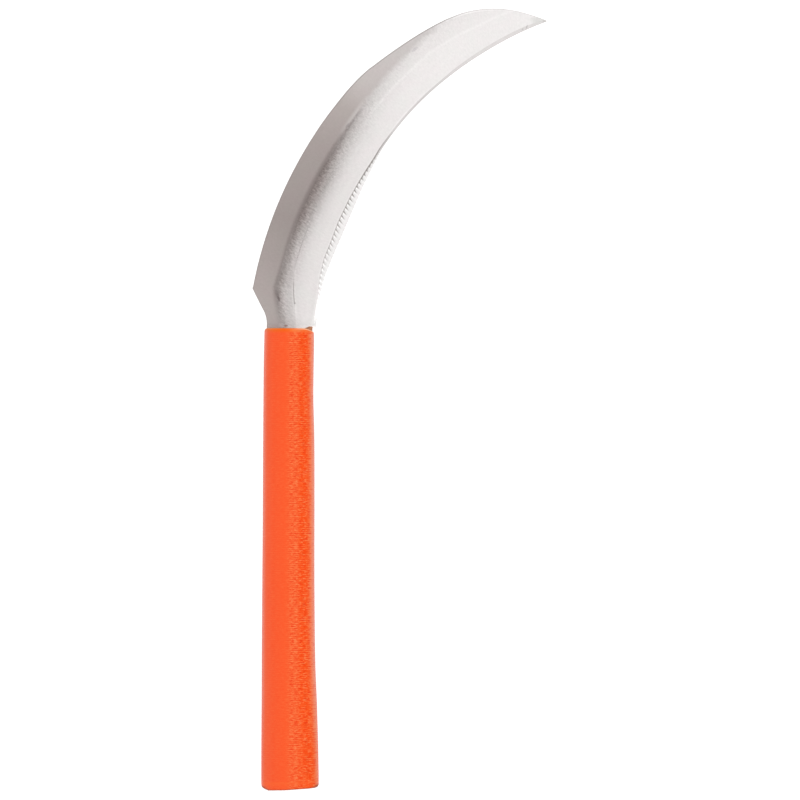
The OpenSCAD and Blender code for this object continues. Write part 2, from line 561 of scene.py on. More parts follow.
def new_group(name: str, inputs: Sequence[str],
              outputs: Sequence[str]) -> tuple[Graph, Sockets, Sockets]:
    """Starts a node group whose sockets all hold plain values.

    Args:
        name: Name of the group.
        inputs: Names of its inputs.
        outputs: Names of its outputs.

    Returns:
        The group's graph, its inputs by name, and the sockets that its outputs are fed through.
    """
    tree = bpy.data.node_groups.new(name, "ShaderNodeTree")
    for label in inputs:
        tree.interface.new_socket(label, in_out="INPUT", socket_type="NodeSocketFloat")
    for label in outputs:
        tree.interface.new_socket(label, in_out="OUTPUT", socket_type="NodeSocketFloat")
    graph = Graph(tree)
    start = tree.nodes.new("NodeGroupInput")
    end = tree.nodes.new("NodeGroupOutput")
    return graph, {n: start.outputs[n] for n in inputs}, {n: end.inputs[n] for n in outputs}


@dataclass(frozen=True)
class SharedEffects:
    """Node groups that more than one finish uses."""

    streaks: bpy.types.NodeTree
    clouding: bpy.types.NodeTree

    @classmethod
    def build(cls) -> "SharedEffects":
        """Builds every group once."""
        return cls(cls.build_streaks(), cls.build_clouding())

    @staticmethod
    def build_streaks() -> bpy.types.NodeTree:
        """Fine lines that run across a way, as a wheel or a saw leaves them.

        Returns:
            A group from Along, Across, Pitch and Length, all in one unit, to Streaks from -1 to 1.
        """
        graph, given, out = new_group("Streaks", ("Along", "Across", "Pitch", "Length"), ("Streaks",))
        lines = graph.over(given["Along"], given["Pitch"])
        ends = graph.over(given["Across"], given["Length"])
        place = graph.feed(graph.node("CombineXYZ"), lines, ends).outputs[0]
        coarse = graph.noise(place, 1.0, 1.0)
        fine = graph.noise(place, 2.7, 0.0)
        both = graph.math("ADD", graph.times(coarse, 1.3), graph.times(fine, 0.7))
        wide = graph.times(graph.math("SUBTRACT", both, 1.0), 2.2)
        graph.put(out["Streaks"], graph.kept(wide, -1.0, 1.0))
        return graph.tree

    @staticmethod
    def build_clouding() -> bpy.types.NodeTree:
        """Soft patches over a surface.

        Returns:
            A group from Size, in millimetres, to Clouds from -1 to 1.
        """
        graph, given, out = new_group("Clouding", ("Size",), ("Clouds",))
        place = graph.node("TexCoord").outputs["Object"]
        soft = graph.noise(place, graph.over(1 / MM, given["Size"]), 3.0)
        graph.put(out["Clouds"], graph.times(graph.math("SUBTRACT", soft, 0.5), 3.0))
        return graph.tree


@dataclass(frozen=True)
class Finish:
    """What every finish has: a name, the shared effects and where the mouth's frame lies."""

    name: str
    shared: SharedEffects
    mouth: Mouth

    @cached_property
    def material(self) -> bpy.types.Material:
        """Makes the finish's own material.

        Returns:
            The material, with nodes.
        """
        made = bpy.data.materials.new(self.name)
        made.use_nodes = True
        return made

    @cached_property
    def graph(self) -> Graph:
        """The material's graph, empty at first."""
        return Graph(self.material.node_tree)

    def clouds(self, size: float) -> Socket:
        """Soft patches of a size in millimetres, from -1 to 1."""
        return self.graph.group(self.shared.clouding, Size=size)["Clouds"]

    def streaks(self, along: Value, across: Value, pitch: float, length: float) -> Socket:
        """Fine lines from -1 to 1 across a way, with their pitch and length in millimetres."""
        sizes = {"Pitch": pitch, "Length": length}
        return self.graph.group(self.shared.streaks, Along=along, Across=across, **sizes)["Streaks"]

    def shade(self, **values: Given) -> bpy.types.Material:
        """Feeds the Principled shader and links it to the output.

        Args:
            values: Sockets and plain values, by the names of its inputs with _ for a space.

        Returns:
            The finished material.
        """
        shader = self.graph.give(self.graph.node("BsdfPrincipled"), **values)
        self.graph.feed(self.graph.node("OutputMaterial"), shader.outputs["BSDF"])
        return self.material


@dataclass(frozen=True)
class SteelPatch:
    """A small soft patch on the steel, lighter or darker than what lies under it, in the mouth's frame."""

    place: Point
    half: Point
    tilt: float
    colour: Colour
    strength: float


@dataclass(frozen=True)
class Stripe:
    """A soft painted line on the steel, a highlight where its colour is light and shade where it is dark,
    which follows one of the blade's own lines.
    """

    beside: Trace
    across: Span
    along: Span
    colour: Colour
    strength: float


@dataclass(frozen=True)
class GroundSteel(Finish):
    """Stainless sheet: a dull band along the back, a ground face, a bevel and its notches.

    Places along the blade run from 0 at the mouth to 1 at the point, and places across it are in
    millimetres.
    """

    length: float = 198.0
    # Painted shade along the rim of the back.
    shear: Colour = tone(134, 128, 124)
    # Painted shade, laid along the ridge, in its dashes and along the second grind's line.
    dark: Colour = tone(112, 103, 101)
    # Painted highlight beside the toothed bevel.
    bright: Colour = tone(238, 236, 234)
    # Painted shade in the notches between the teeth.
    notch: Colour = tone(146, 140, 137)
    # Painted shade along the crease behind the teeth.
    bevel_line: Colour = tone(142, 137, 134)
    # Painted light on the toothed bevel, paler at its outer rim; toothed is also the painted highlight
    # beside the ridge.
    toothed: Colour = tone(226, 224, 223)
    toothed_rim: Colour = tone(233, 231, 230)
    # Painted highlights beside the plain bevel, along the hook's line and inside the rim near the point.
    gleam: Colour = tone(250, 248, 247)
    plain: Stops = (
        (0.52, grey(209, 3)), (0.64, grey(206, 3)), (0.72, grey(212, 3)), (0.82, grey(218, 3)),
    )
    band: Stops = (
        (0.00, grey(166, 7)), (0.10, grey(160, 7)), (0.15, grey(155, 7)), (0.19, grey(152, 7)),
        (0.24, grey(147, 7)), (0.29, grey(150, 7)), (0.42, grey(155, 7)), (0.51, grey(167, 7)),
        (0.58, grey(179, 6)), (0.66, grey(187, 5)), (0.74, grey(193, 4)), (0.82, grey(213, 3)),
        (0.90, grey(232, 2)),
    )
    # Painted shade of the hollow grind, darkest just past the ridge and lighter toward the edge.
    hollow: Stops = (
        (0.00, grey(128, 7)), (0.05, grey(118, 7)), (0.10, grey(127, 7)), (0.16, grey(135, 7)),
        (0.22, grey(145, 6)), (0.28, grey(158, 6)), (0.35, grey(163, 5)), (0.42, grey(176, 4)),
        (0.50, grey(190, 4)), (0.63, grey(205, 3)), (0.77, grey(214, 3)), (1.00, grey(221, 3)),
    )
    hollow_reach: float = 14.0
    hollow_share: tuple[Point, ...] = (
        (0.00, 0.80), (0.10, 0.90), (0.15, 0.84), (0.19, 0.90), (0.25, 1.00), (0.38, 1.00), (0.42, 0.90),
        (0.463, 0.79), (0.51, 0.58), (0.553, 0.43), (0.60, 0.28), (0.643, 0.20), (0.69, 0.13),
        (0.80, 0.10), (0.90, 0.13),
    )
    face: Stops = (
        (0.0, grey(219.5, 3)), (0.3, grey(222, 3)), (0.5, grey(228, 2.5)), (0.7, grey(232, 2.5)),
        (1.0, grey(232, 2)),
    )
    notch_share: tuple[Point, ...] = (
        (0.00, 0.20), (0.12, 0.22), (0.15, 0.30), (0.18, 0.48), (0.21, 0.68), (0.28, 0.88), (0.35, 1.00),
    )
    line_share: tuple[Point, ...] = (
        (0.00, 0.0), (0.08, 0.0), (0.18, 0.55), (0.36, 0.70), (0.41, 1.0), (0.465, 1.0), (0.505, 0.6),
        (0.55, 0.3),
    )
    wheel_slope: float = math.radians(35.0)
    # Painted light and shade of the ground face; the pair at (-4.75, 13.4) and (-5.25, 14.7) is the painted
    # shade at the end of the plunge, and the brownish grey dot at (-1.5, 1.35) lies just above the lip.
    steel_patches: tuple[SteelPatch, ...] = (
        SteelPatch((-3.4, 1.5), (1.5, 1.1), 0.0, tone(180, 172, 170), 0.70),
        SteelPatch((108.9, 135.3), (1.7, 3.4), -86.0, tone(217, 215, 213), 0.85),
        SteelPatch((111.6, 134.8), (0.5, 0.8), -80.0, tone(196, 192, 190), 0.60),
        SteelPatch((-4.75, 13.4), (0.42, 1.25), 20.0, tone(106, 97, 95), 0.75),
        SteelPatch((-5.25, 14.7), (0.85, 2.6), 20.0, tone(112, 103, 101), 0.40),
        SteelPatch((-1.5, 1.35), (0.85, 0.42), 0.0, tone(136, 108, 102), 0.80),
        SteelPatch((2.35, 11.2), (0.40, 0.32), 0.0, tone(130, 124, 120), 0.60),
        SteelPatch((25.4, 88.9), (0.55, 1.3), -35.0, tone(138, 132, 132), 0.50),
        SteelPatch((29.4, 93.6), (0.45, 0.8), -35.0, tone(146, 140, 140), 0.45),
        SteelPatch((54.8, 122.2), (0.65, 1.6), -50.0, tone(184, 180, 182), 0.50),
        SteelPatch((103.8, 132.0), (0.32, 1.0), -20.0, tone(168, 164, 164), 0.50),
        SteelPatch((102.0, 131.1), (0.40, 0.5), -20.0, tone(176, 172, 172), 0.45),
    )
    # Painted highlights and painted shade along the blade's lines.
    ridge_light: Stripe = Stripe(
        Trace.PAST_RIDGE, Span(-2.2, -0.6, -0.6, 0.2), Span(0.43, 0.51, 0.51, 0.58), toothed, 0.28)
    line_shade: Stripe = Stripe(
        Trace.PAST_LINE, Span(-5.0, -0.15, -0.15, 0.05), Span(-2.0, -1.0, 0.11, 0.17), grey(168, 4), 0.28)
    line_light: Stripe = Stripe(
        Trace.PAST_LINE, Span(-1.1, -0.6, -0.6, -0.2), Span(0.02, 0.06, 0.06, 0.10), grey(213, 3), 0.35)
    hook_shade: Stripe = Stripe(
        Trace.PAST_LINE, Span(-99.0, -98.0, -1.6, -0.3), Span(0.50, 0.58, 0.70, 0.86), grey(212, 3), 0.16)
    toothed_light: Stripe = Stripe(
        Trace.PAST_BEVEL, Span(-0.95, -0.4, -0.4, -0.1), Span(-2.0, -1.0, 0.44, 0.52), bright, 0.50)
    plain_light: Stripe = Stripe(
        Trace.PAST_BEVEL, Span(-0.85, -0.4, -0.4, -0.05), Span(0.49, 0.56, 0.56, 0.76), gleam, 0.45)
    rim_light: Stripe = Stripe(
        Trace.FROM_BACK, Span(0.30, 0.70, 0.70, 1.20), Span(0.76, 0.85, 0.85, 0.95), gleam, 0.70)
    ridge_shade: Span = Span(0.02, 0.09, 0.42, 0.50)
    dashed_ridge: Span = Span(0.40, 0.48, 0.48, 0.57)
    whole_line: Span = Span(0.050, 0.075, 0.075, 0.13)
    dashed_line: Span = Span(0.11, 0.18, 0.18, 0.29)
    front_only: Point = (-7.5, -6.0)
    pinkish: Colour = (1.012, 0.990, 1.000)
    greenish: Colour = (0.990, 1.006, 0.994)

    @cached_property
    def along(self) -> Socket:
        """How far up the blade a place is."""
        return self.graph.trace(Trace.ALONG)

    @cached_property
    def past_ridge(self) -> Socket:
        """How far a place is from the ridge, above 0 on the ground face and below 0 on the band."""
        return self.graph.trace(Trace.PAST_RIDGE)

    @cached_property
    def spot(self) -> list[Socket]:
        """X, Y and Z in the mouth's frame, in millimetres."""
        return self.graph.place(self.mouth.origin)

    @cached_property
    def grain(self) -> Socket:
        """Patches of a millimetre, which roughen outlines."""
        return self.clouds(1.0)

    @cached_property
    def hollowed(self) -> Socket:
        """How much of the hollow's shade there is at a place up the blade."""
        return self.graph.course(self.along, self.hollow_share)

    @cached_property
    def dull(self) -> Socket:
        """1 on the unground band and 0 on the ground face."""
        return self.graph.rise(self.past_ridge, 0.5, -0.5)

    @cached_property
    def marks(self) -> Socket:
        """Fine lines of the grinding wheel, slanted near the grip and square to the edge above.

        Returns:
            The lines, from -1 to 1.
        """
        graph = self.graph
        x, y, _ = self.spot
        lean, rise = math.cos(self.wheel_slope), math.sin(self.wheel_slope)
        down = graph.scaled(x, rise, graph.times(y, lean))
        aside = graph.scaled(x, lean, graph.times(y, -rise))
        slanted = self.streaks(down, aside, pitch=0.72, length=2.0)
        square = self.streaks(graph.times(self.along, self.length), self.past_ridge, pitch=0.75, length=1.6)
        share = graph.rise(self.along, 0.24, 0.38)
        return graph.scaled(graph.math("SUBTRACT", square, slanted), share, slanted)

    @cached_property
    def jagged(self) -> Socket:
        """How far past the ridge a place is, made uneven by the wheel and, higher up, by mottling.

        Returns:
            The uneven distance, in millimetres.
        """
        graph = self.graph
        mottle = graph.times(self.clouds(2.6), graph.rise(self.along, 0.36, 0.48))
        return graph.scaled(mottle, 0.8, graph.scaled(self.marks, 0.45, self.past_ridge))

    def build(self) -> bpy.types.Material:
        """Builds the material, layer by layer.

        Returns:
            The material.
        """
        colour = self.ground_colour()
        for lay in (self.add_band, self.add_dashes, self.add_line, self.add_hook_line, self.add_bevel,
                    self.add_notches, self.add_rim, self.add_steel_patches, self.add_mouth, self.add_swing,
                    self.add_tint):
            colour = lay(colour)
        rough = self.graph.scaled(self.dull, 0.08, 0.33)
        return self.shade(
            Metallic=1.0,
            Base_Color=colour,
            Roughness=self.graph.scaled(self.marks, 0.04, rough),
            Normal=self.graph.bump(self.marks, 0.3, 0.02 * MM),
        )

    def add_stripe(self, colour: Socket, stripe: Stripe) -> Socket:
        """Paints one soft line of highlight or shade.

        Args:
            colour: What lies under it.
            stripe: The line.

        Returns:
            The new colour.
        """
        graph = self.graph
        across = graph.span(graph.trace(stripe.beside), stripe.across)
        mask = graph.times(across, graph.span(self.along, stripe.along))
        return graph.lay(colour, mask, stripe.strength, stripe.colour)

    def ground_colour(self) -> Socket:
        """Colour of the ground face with the shade of its hollow, which fades sooner at both ends.

        Returns:
            The colour.
        """
        graph = self.graph
        across = graph.over(self.jagged, self.hollow_reach)
        ends = graph.math("ADD", graph.rise(self.along, 0.29, 0.16), graph.rise(self.along, 0.34, 0.43))
        outer = graph.times(graph.rise(self.jagged, 0.8, 5.0), ends)
        share = graph.times(self.hollowed, graph.scaled(outer, -0.27, 1.0))
        return graph.mix(share, graph.ramp(self.along, self.face), graph.ramp(across, self.hollow))

    def add_band(self, colour: Socket) -> Socket:
        """Lays the dull band over the ground colour, with a boundary that softens up the blade and painted
        shade just before the ridge.

        Args:
            colour: The ground colour.

        Returns:
            The new colour.
        """
        graph = self.graph
        soft = graph.scaled(graph.rise(self.along, 0.48, 0.62), 1.2, 0.55)
        soft = graph.scaled(graph.rise(self.along, 0.07, 0.0), 2.5, soft)
        inside = graph.rise(graph.over(self.jagged, soft), 1.0, -1.0)
        # Painted shade over the band's last millimetres before the ridge.
        near = graph.times(graph.rise(self.jagged, -1.9, 0.4), graph.span(self.along, self.ridge_shade))
        return graph.mix(inside, colour, graph.lay(graph.ramp(self.along, self.band), near, 0.62, self.dark))

    def add_dashes(self, colour: Socket) -> Socket:
        """Paints the ridge's shade as dark dashes beside a painted highlight strip, halfway up the blade.

        Args:
            colour: What lies under them.

        Returns:
            The new colour.
        """
        graph = self.graph
        colour = self.add_stripe(colour, self.ridge_light)
        broken = self.streaks(graph.times(self.along, self.length), self.past_ridge, pitch=2.6, length=3.0)
        dashes = graph.times(graph.hump(self.past_ridge, -0.4, 0.5, 1.5), graph.rise(broken, -0.5, 0.3))
        # Painted shade: dark dashes just past the ridge.
        dashes = graph.times(dashes, graph.span(self.along, self.dashed_ridge))
        return graph.lay(colour, dashes, 0.42, self.dark)

    def add_line(self, colour: Socket) -> Socket:
        """Paints the shade at the second grind's step as a dark line, whole near the root and in dashes
        further up, after painted shade and a painted highlight beside it.

        Args:
            colour: What lies under it.

        Returns:
            The new colour.
        """
        graph = self.graph
        colour = self.add_stripe(colour, self.line_shade)
        colour = self.add_stripe(colour, self.line_light)
        whole = graph.math("MINIMUM", graph.times(graph.span(self.along, self.whole_line), 1.6), 1.0)
        dashed = graph.times(graph.span(self.along, self.dashed_line), graph.rise(self.marks, -0.4, 0.3))
        # Painted shade along the second grind's step.
        line = graph.hump(graph.trace(Trace.PAST_LINE), -0.42, 0.0, 0.36)
        line = graph.times(line, graph.math("MAXIMUM", whole, dashed))
        return graph.lay(colour, line, 0.62, self.dark)

    def add_hook_line(self, colour: Socket) -> Socket:
        """Goes on with that line along the hook, as a broken gleam beside a slight shade.

        Args:
            colour: What lies under it.

        Returns:
            The new colour.
        """
        graph = self.graph
        colour = self.add_stripe(colour, self.hook_shade)
        streak = graph.hump(graph.trace(Trace.PAST_LINE), -1.0, 0.0, 1.0)
        streak = graph.times(streak, graph.rise(self.along, 0.50, 0.58))
        return graph.lay(colour, streak, graph.scaled(self.clouds(5.0), 0.10, 0.20), self.gleam)

    def add_bevel(self, colour: Socket) -> Socket:
        """Paints a highlight beside each bevel, lightens the toothed bevel as painted light, greys the plain
        one and paints a line of shade behind the teeth.

        Args:
            colour: What lies under it.

        Returns:
            The new colour.
        """
        graph, along = self.graph, self.along
        past = graph.trace(Trace.PAST_BEVEL)
        colour = self.add_stripe(colour, self.toothed_light)
        colour = self.add_stripe(colour, self.plain_light)
        outer = graph.mix(graph.rise(past, 0.7, 2.3), self.toothed, self.toothed_rim)
        bevel = graph.mix(graph.rise(along, 0.52, 0.44), graph.ramp(along, self.plain), outer)
        colour = graph.mix(graph.rise(past, -0.05, 0.12), colour, bevel)
        wide = graph.scaled(graph.rise(along, 0.36, 0.44), 0.45, 0.5)
        line = graph.times(graph.rise(past, -0.3, 0.08), graph.rise(past, wide, 0.08))
        line = graph.times(line, graph.rise(along, 0.55, 0.51))
        return graph.lay(colour, line, graph.course(along, self.line_share), self.bevel_line)

    def add_notches(self, colour: Socket) -> Socket:
        """Paints shade into the notches between the teeth."""
        wedge = self.graph.rise(self.graph.trace(Trace.NOTCH), 0.24, 0.76)
        return self.graph.lay(colour, wedge, self.graph.course(self.along, self.notch_share), self.notch)

    def add_rim(self, colour: Socket) -> Socket:
        """Paints shade along the rim of the back, a little wider up the blade, and a painted highlight just
        inside it near the point.

        Args:
            colour: What lies under it.

        Returns:
            The new colour.
        """
        graph = self.graph
        wide = graph.scaled(graph.rise(self.along, 0.42, 0.54), 0.32, 0.40)
        rim = graph.rise(graph.trace(Trace.FROM_BACK), wide, 0.08)
        strength = graph.scaled(graph.rise(self.along, 0.77, 0.85), -0.47, 0.65)
        return self.add_stripe(graph.lay(colour, rim, strength, self.shear), self.rim_light)

    def add_steel_patches(self, colour: Socket) -> Socket:
        """Adds the painted shade at the end of the plunge and the other small light and dark patches, on the
        front face alone.

        Args:
            colour: What lies under them.

        Returns:
            The new colour.
        """
        graph = self.graph
        front = graph.rise(self.past_ridge, *self.front_only)
        for steel_patch in self.steel_patches:
            x, y = (graph.math("SUBTRACT", part, middle) for part, middle in zip(self.spot, steel_patch.place))
            cos, sin = math.cos(math.radians(steel_patch.tilt)), math.sin(math.radians(steel_patch.tilt))
            across = graph.scaled(x, cos, graph.times(y, sin))
            up = graph.scaled(y, cos, graph.times(x, -sin))
            shares = [graph.over(part, half) for part, half in zip((across, up), steel_patch.half)]
            away = graph.math("ADD", *(graph.times(share, share) for share in shares))
            near = graph.rise(graph.scaled(self.grain, 0.35, away), 1.5, 0.2)
            colour = graph.lay(colour, graph.times(near, front), steel_patch.strength, steel_patch.colour)
        return colour

    def add_mouth(self, colour: Socket) -> Socket:
        """Brightens the steel right beside the sleeve, whose lip keeps some light off it."""
        near = self.graph.rise(self.spot[1], 2.0, 0.3)
        return self.graph.lit(colour, self.graph.scaled(near, 0.16, 1.0))

    def add_swing(self, colour: Socket) -> Socket:
        """Adds the fine lines' painted light and shade, faint clouding and a slow fall across the band.

        Args:
            colour: What they change.

        Returns:
            The new colour.
        """
        graph = self.graph
        near = graph.times(graph.hump(self.past_ridge, -1.5, 2.0, 10.0), self.hollowed)
        gain = graph.scaled(graph.hump(self.along, 0.16, 0.30, 0.50), 0.13, 0.21)
        swing = graph.times(self.marks, graph.scaled(near, gain, 0.035))
        swing = graph.scaled(self.clouds(9.0), 0.016, swing)
        swing = graph.scaled(self.grain, 0.018, swing)
        fall = graph.math("SUBTRACT", graph.rise(self.past_ridge, -9.0, -1.0), 0.5)
        swing = graph.scaled(graph.times(fall, self.dull), -0.035, swing)
        return graph.lit(colour, graph.math("ADD", swing, 1.0))

    def add_tint(self, colour: Socket) -> Socket:
        """Lets the grey drift a little between pink and green, as worn steel does."""
        share = self.graph.scaled(self.clouds(7.0), 0.6, 0.5)
        return self.graph.mix(1.0, colour, self.graph.mix(share, self.pinkish, self.greenish), "MULTIPLY")


@dataclass(frozen=True)
class PinSteel(Finish):
    """Drawn steel rod, peened flush."""

    dark: Colour = tone(160, 156, 152)
    bright: Colour = tone(196, 193, 190)

    def build(self) -> bpy.types.Material:
        """Builds the material.

        Returns:
            The material.
        """
        graph = self.graph
        x, y, z = graph.place()
        drawn = self.streaks(graph.math("ADD", x, y), z, pitch=0.3, length=8.0)
        share = graph.scaled(graph.math("ADD", drawn, self.clouds(1.2)), 0.2, 0.5)
        return self.shade(
            Metallic=1.0,
            Base_Color=graph.mix(share, self.dark, self.bright),
            Roughness=graph.scaled(drawn, 0.06, 0.36),
            Normal=graph.bump(drawn, 0.3, 0.02 * MM),
        )


@dataclass(frozen=True)
class SawnWood(Finish):
    """Bare hardwood whose grain runs along the grip."""

    pale: Colour = tone(210, 140, 98)
    dark: Colour = tone(142, 84, 52)

    def build(self) -> bpy.types.Material:
        """Builds the material.

        Returns:
            The material.
        """
        graph = self.graph
        x, y, z = graph.place()
        grain = self.streaks(graph.scaled(z, 1.7, x), y, pitch=0.9, length=22.0)
        share = graph.scaled(grain, 0.38, graph.scaled(self.clouds(6.0), 0.12, 0.4))
        return self.shade(
            Metallic=0.0,
            Base_Color=graph.mix(share, self.pale, self.dark),
            Roughness=graph.scaled(grain, 0.06, 0.68),
            Normal=graph.bump(grain, 0.5, 0.06 * MM),
        )


@dataclass(frozen=True)
class RibbedVinyl(Finish):
    """Orange vinyl, a little shiny, with uneven fine ribs.

    Places along the grip are measured from its middle, and places across it from its centre line.
    """

    reach: float = 13.0
    # Painted light and shade across the front: a little darker toward the heel side, lighter near the
    # middle, a deep band of painted shade at 0.69 to 0.80 and a pale painted reflection at the cutting
    # side's edge.
    across: Stops = (
        (0.00, tone(244, 100, 62)), (0.11, tone(247, 97, 55)), (0.17, tone(248, 93, 50)),
        (0.24, tone(251, 91, 45)), (0.42, tone(255, 92, 41)), (0.52, tone(254, 100, 48)),
        (0.62, tone(253, 101, 47)), (0.69, tone(254, 86, 18)), (0.76, tone(255, 80, 0)),
        (0.80, tone(255, 88, 18)), (0.83, tone(255, 101, 42)), (0.87, tone(255, 134, 90)),
        (1.00, tone(255, 140, 100)),
    )
    # Painted light: a glow in the band just under the lip.
    under_lip: Stops = (
        (0.12, tone(238, 106, 58)), (0.23, tone(243, 104, 36)), (0.42, tone(251, 99, 18)),
        (0.50, tone(253, 108, 34)), (0.57, tone(255, 128, 62)), (0.68, tone(248, 128, 70)),
        (0.76, tone(255, 112, 44)), (1.00, tone(255, 112, 60)),
    )
    # Painted highlight along the lip, palest toward the cutting side.
    lip: Stops = (
        (0.08, tone(230, 142, 100)), (0.23, tone(234, 128, 60)), (0.42, tone(238, 114, 32)),
        (0.57, tone(244, 130, 68)), (0.66, tone(255, 168, 126)), (0.74, tone(255, 190, 146)),
        (0.87, tone(255, 176, 130)),
    )
    # Painted highlight on the ribs' crests and painted shade in their valleys.
    crest: Colour = tone(255, 140, 84)
    valley: Colour = tone(241, 58, 12)
    bloom: Colour = (1.0, 0.85, 0.80)
    # Painted shade on the butt's rounded rim; glow is the painted light on the strip beside it.
    butt: Colour = tone(170, 80, 48)
    glow: Colour = tone(255, 108, 48)
    side: Colour = tone(250, 98, 50)
    worn_from: float = -55.0
    worn_to: float = -85.0

    @cached_property
    def spot(self) -> list[Socket]:
        """X, Y and Z of a place, in millimetres."""
        return self.graph.place()

    @cached_property
    def place_across(self) -> Socket:
        """Where the ramps across the grip are read.

        Returns:
            The place, from 0 at the heel side to 1 at the cutting side, less far where the grip flares.
        """
        graph = self.graph
        x, y, _ = self.spot
        widened = graph.times(graph.rise(y, -35.0, -100.0), graph.rise(x, 3.0, 8.5))
        return graph.scaled(graph.scaled(widened, -2.6, x), 0.5 / self.reach, 0.5)

    @cached_property
    def upright(self) -> Socket:
        """1 where the surface faces the front or the back, and 0 where it faces a side."""
        normal = self.graph.node("NewGeometry").outputs["Normal"]
        return self.graph.math("ABSOLUTE", self.graph.split(normal)[2])

    @cached_property
    def on_side(self) -> Socket:
        """1 on the flat cutting side."""
        turned = self.graph.rise(self.upright, 0.36, 0.12)
        return self.graph.times(turned, self.graph.rise(self.spot[0], 0.0, 5.0))

    @cached_property
    def ripples(self) -> Socket:
        """Fine uneven lines across the grip, from -1 to 1."""
        x, y, _ = self.spot
        return self.streaks(y, x, pitch=0.52, length=2.0)

    @cached_property
    def patches(self) -> Socket:
        """Soft patches of a few millimetres, from -1 to 1."""
        return self.clouds(3.0)

    def build(self) -> bpy.types.Material:
        """Builds the material, layer by layer.

        Returns:
            The material.
        """
        graph = self.graph
        place = graph.scaled(self.patches, 0.275 / self.reach, self.place_across)
        # The across ramp's painted light and shade, with the flat side in plain orange.
        colour = graph.mix(self.on_side, graph.ramp(place, self.across), self.side)
        for lay in (self.add_ripples, self.add_lip, self.add_butt):
            colour = lay(colour)
        return self.shade(
            Metallic=0.0,
            Base_Color=colour,
            Roughness=graph.scaled(self.clouds(16.0), 0.04, 0.42),
            Specular_IOR_Level=0.12,
            Sheen_Weight=self.bloom_share(),
            Sheen_Roughness=0.5,
            Sheen_Tint=self.bloom,
            Normal=graph.bump(self.ripples, 0.35, 0.03 * MM),
        )

    def add_ripples(self, colour: Socket) -> Socket:
        """Paints the ribs' light and shade, strongest on the right half of the front.

        Args:
            colour: What they change.

        Returns:
            The new colour.
        """
        graph = self.graph
        ripples = graph.times(self.ripples, graph.scaled(self.on_side, -0.7, 1.0))
        ribbed = graph.scaled(graph.trace(Trace.RIB), 0.36, ripples)
        shown = graph.scaled(graph.rise(self.spot[0], -1.6, 1.2), 1.15, 0.22)
        swing = graph.times(graph.times(ribbed, shown), graph.scaled(self.patches, 0.4, 0.75))
        light = graph.mix(graph.kept(swing, 0.0, 1.0), colour, self.crest)
        return graph.mix(graph.kept(graph.times(swing, -1.1), 0.0, 1.0), light, self.valley)

    def add_lip(self, colour: Socket) -> Socket:
        """Paints the glow of light under the lip and then the lip's highlight.

        Args:
            colour: What lies under them.

        Returns:
            The new colour.
        """
        graph = self.graph
        lip = graph.trace(Trace.LIP)
        colour = graph.mix(graph.rise(lip, 0.0, 0.6), colour, graph.ramp(self.place_across, self.under_lip))
        return graph.mix(graph.rise(lip, 0.6, 1.0), colour, graph.ramp(self.place_across, self.lip))

    def add_butt(self, colour: Socket) -> Socket:
        """Paints shade on the rounded rim of the butt and light on the strip beside it.

        Args:
            colour: What lies under it.

        Returns:
            The new colour.
        """
        graph = self.graph
        butt = graph.trace(Trace.BUTT)
        colour = graph.lay(colour, graph.hump(butt, 0.0, 0.5, 1.0), 0.4, self.glow)
        turned = graph.times(graph.rise(self.upright, 0.90, 0.40), graph.rise(self.upright, 0.02, 0.10))
        return graph.lay(colour, graph.rise(butt, 0.8, 1.0), turned, self.butt)

    def bloom_share(self) -> Socket:
        """How much pale sheen the vinyl shows where it turns away, which is most near the mouth.

        Returns:
            The share, from 0 to 1.
        """
        graph = self.graph
        facing = graph.node("LayerWeight").outputs["Facing"]
        worn = graph.scaled(graph.rise(self.spot[1], self.worn_from, self.worn_to), -0.5, 1.0)
        worn = graph.times(worn, graph.rise(graph.trace(Trace.BUTT), 1.0, 0.78))
        worn = graph.times(worn, graph.rise(graph.trace(Trace.LIP), 0.9, 0.3))
        grazing = graph.scaled(graph.rise(facing, 0.56, 0.74), -0.7, 1.0)
        return graph.times(graph.times(graph.rise(facing, 0.08, 0.50), grazing), worn)


@dataclass(frozen=True)
class Spot:
    """One point of the blade's front face, with what its finish needs to know."""

    x: float
    y: float
    z: float
    along: float
    past_ridge: float
    past_line: float
    past_bevel: float
    from_back: float
    notch: float

    def told(self) -> dict[str, float]:
        """The point's traces, by name."""
        return {f.name: getattr(self, f.name) for f in fields(self) if f.name not in ("x", "y", "z")}


@dataclass(frozen=True)
class Lines:
    """The radii at which a row of the blade crosses the blade's lines, and the row's place."""

    share: float
    back: float
    ridge: float
    line: float
    edge: float
    bevel: float


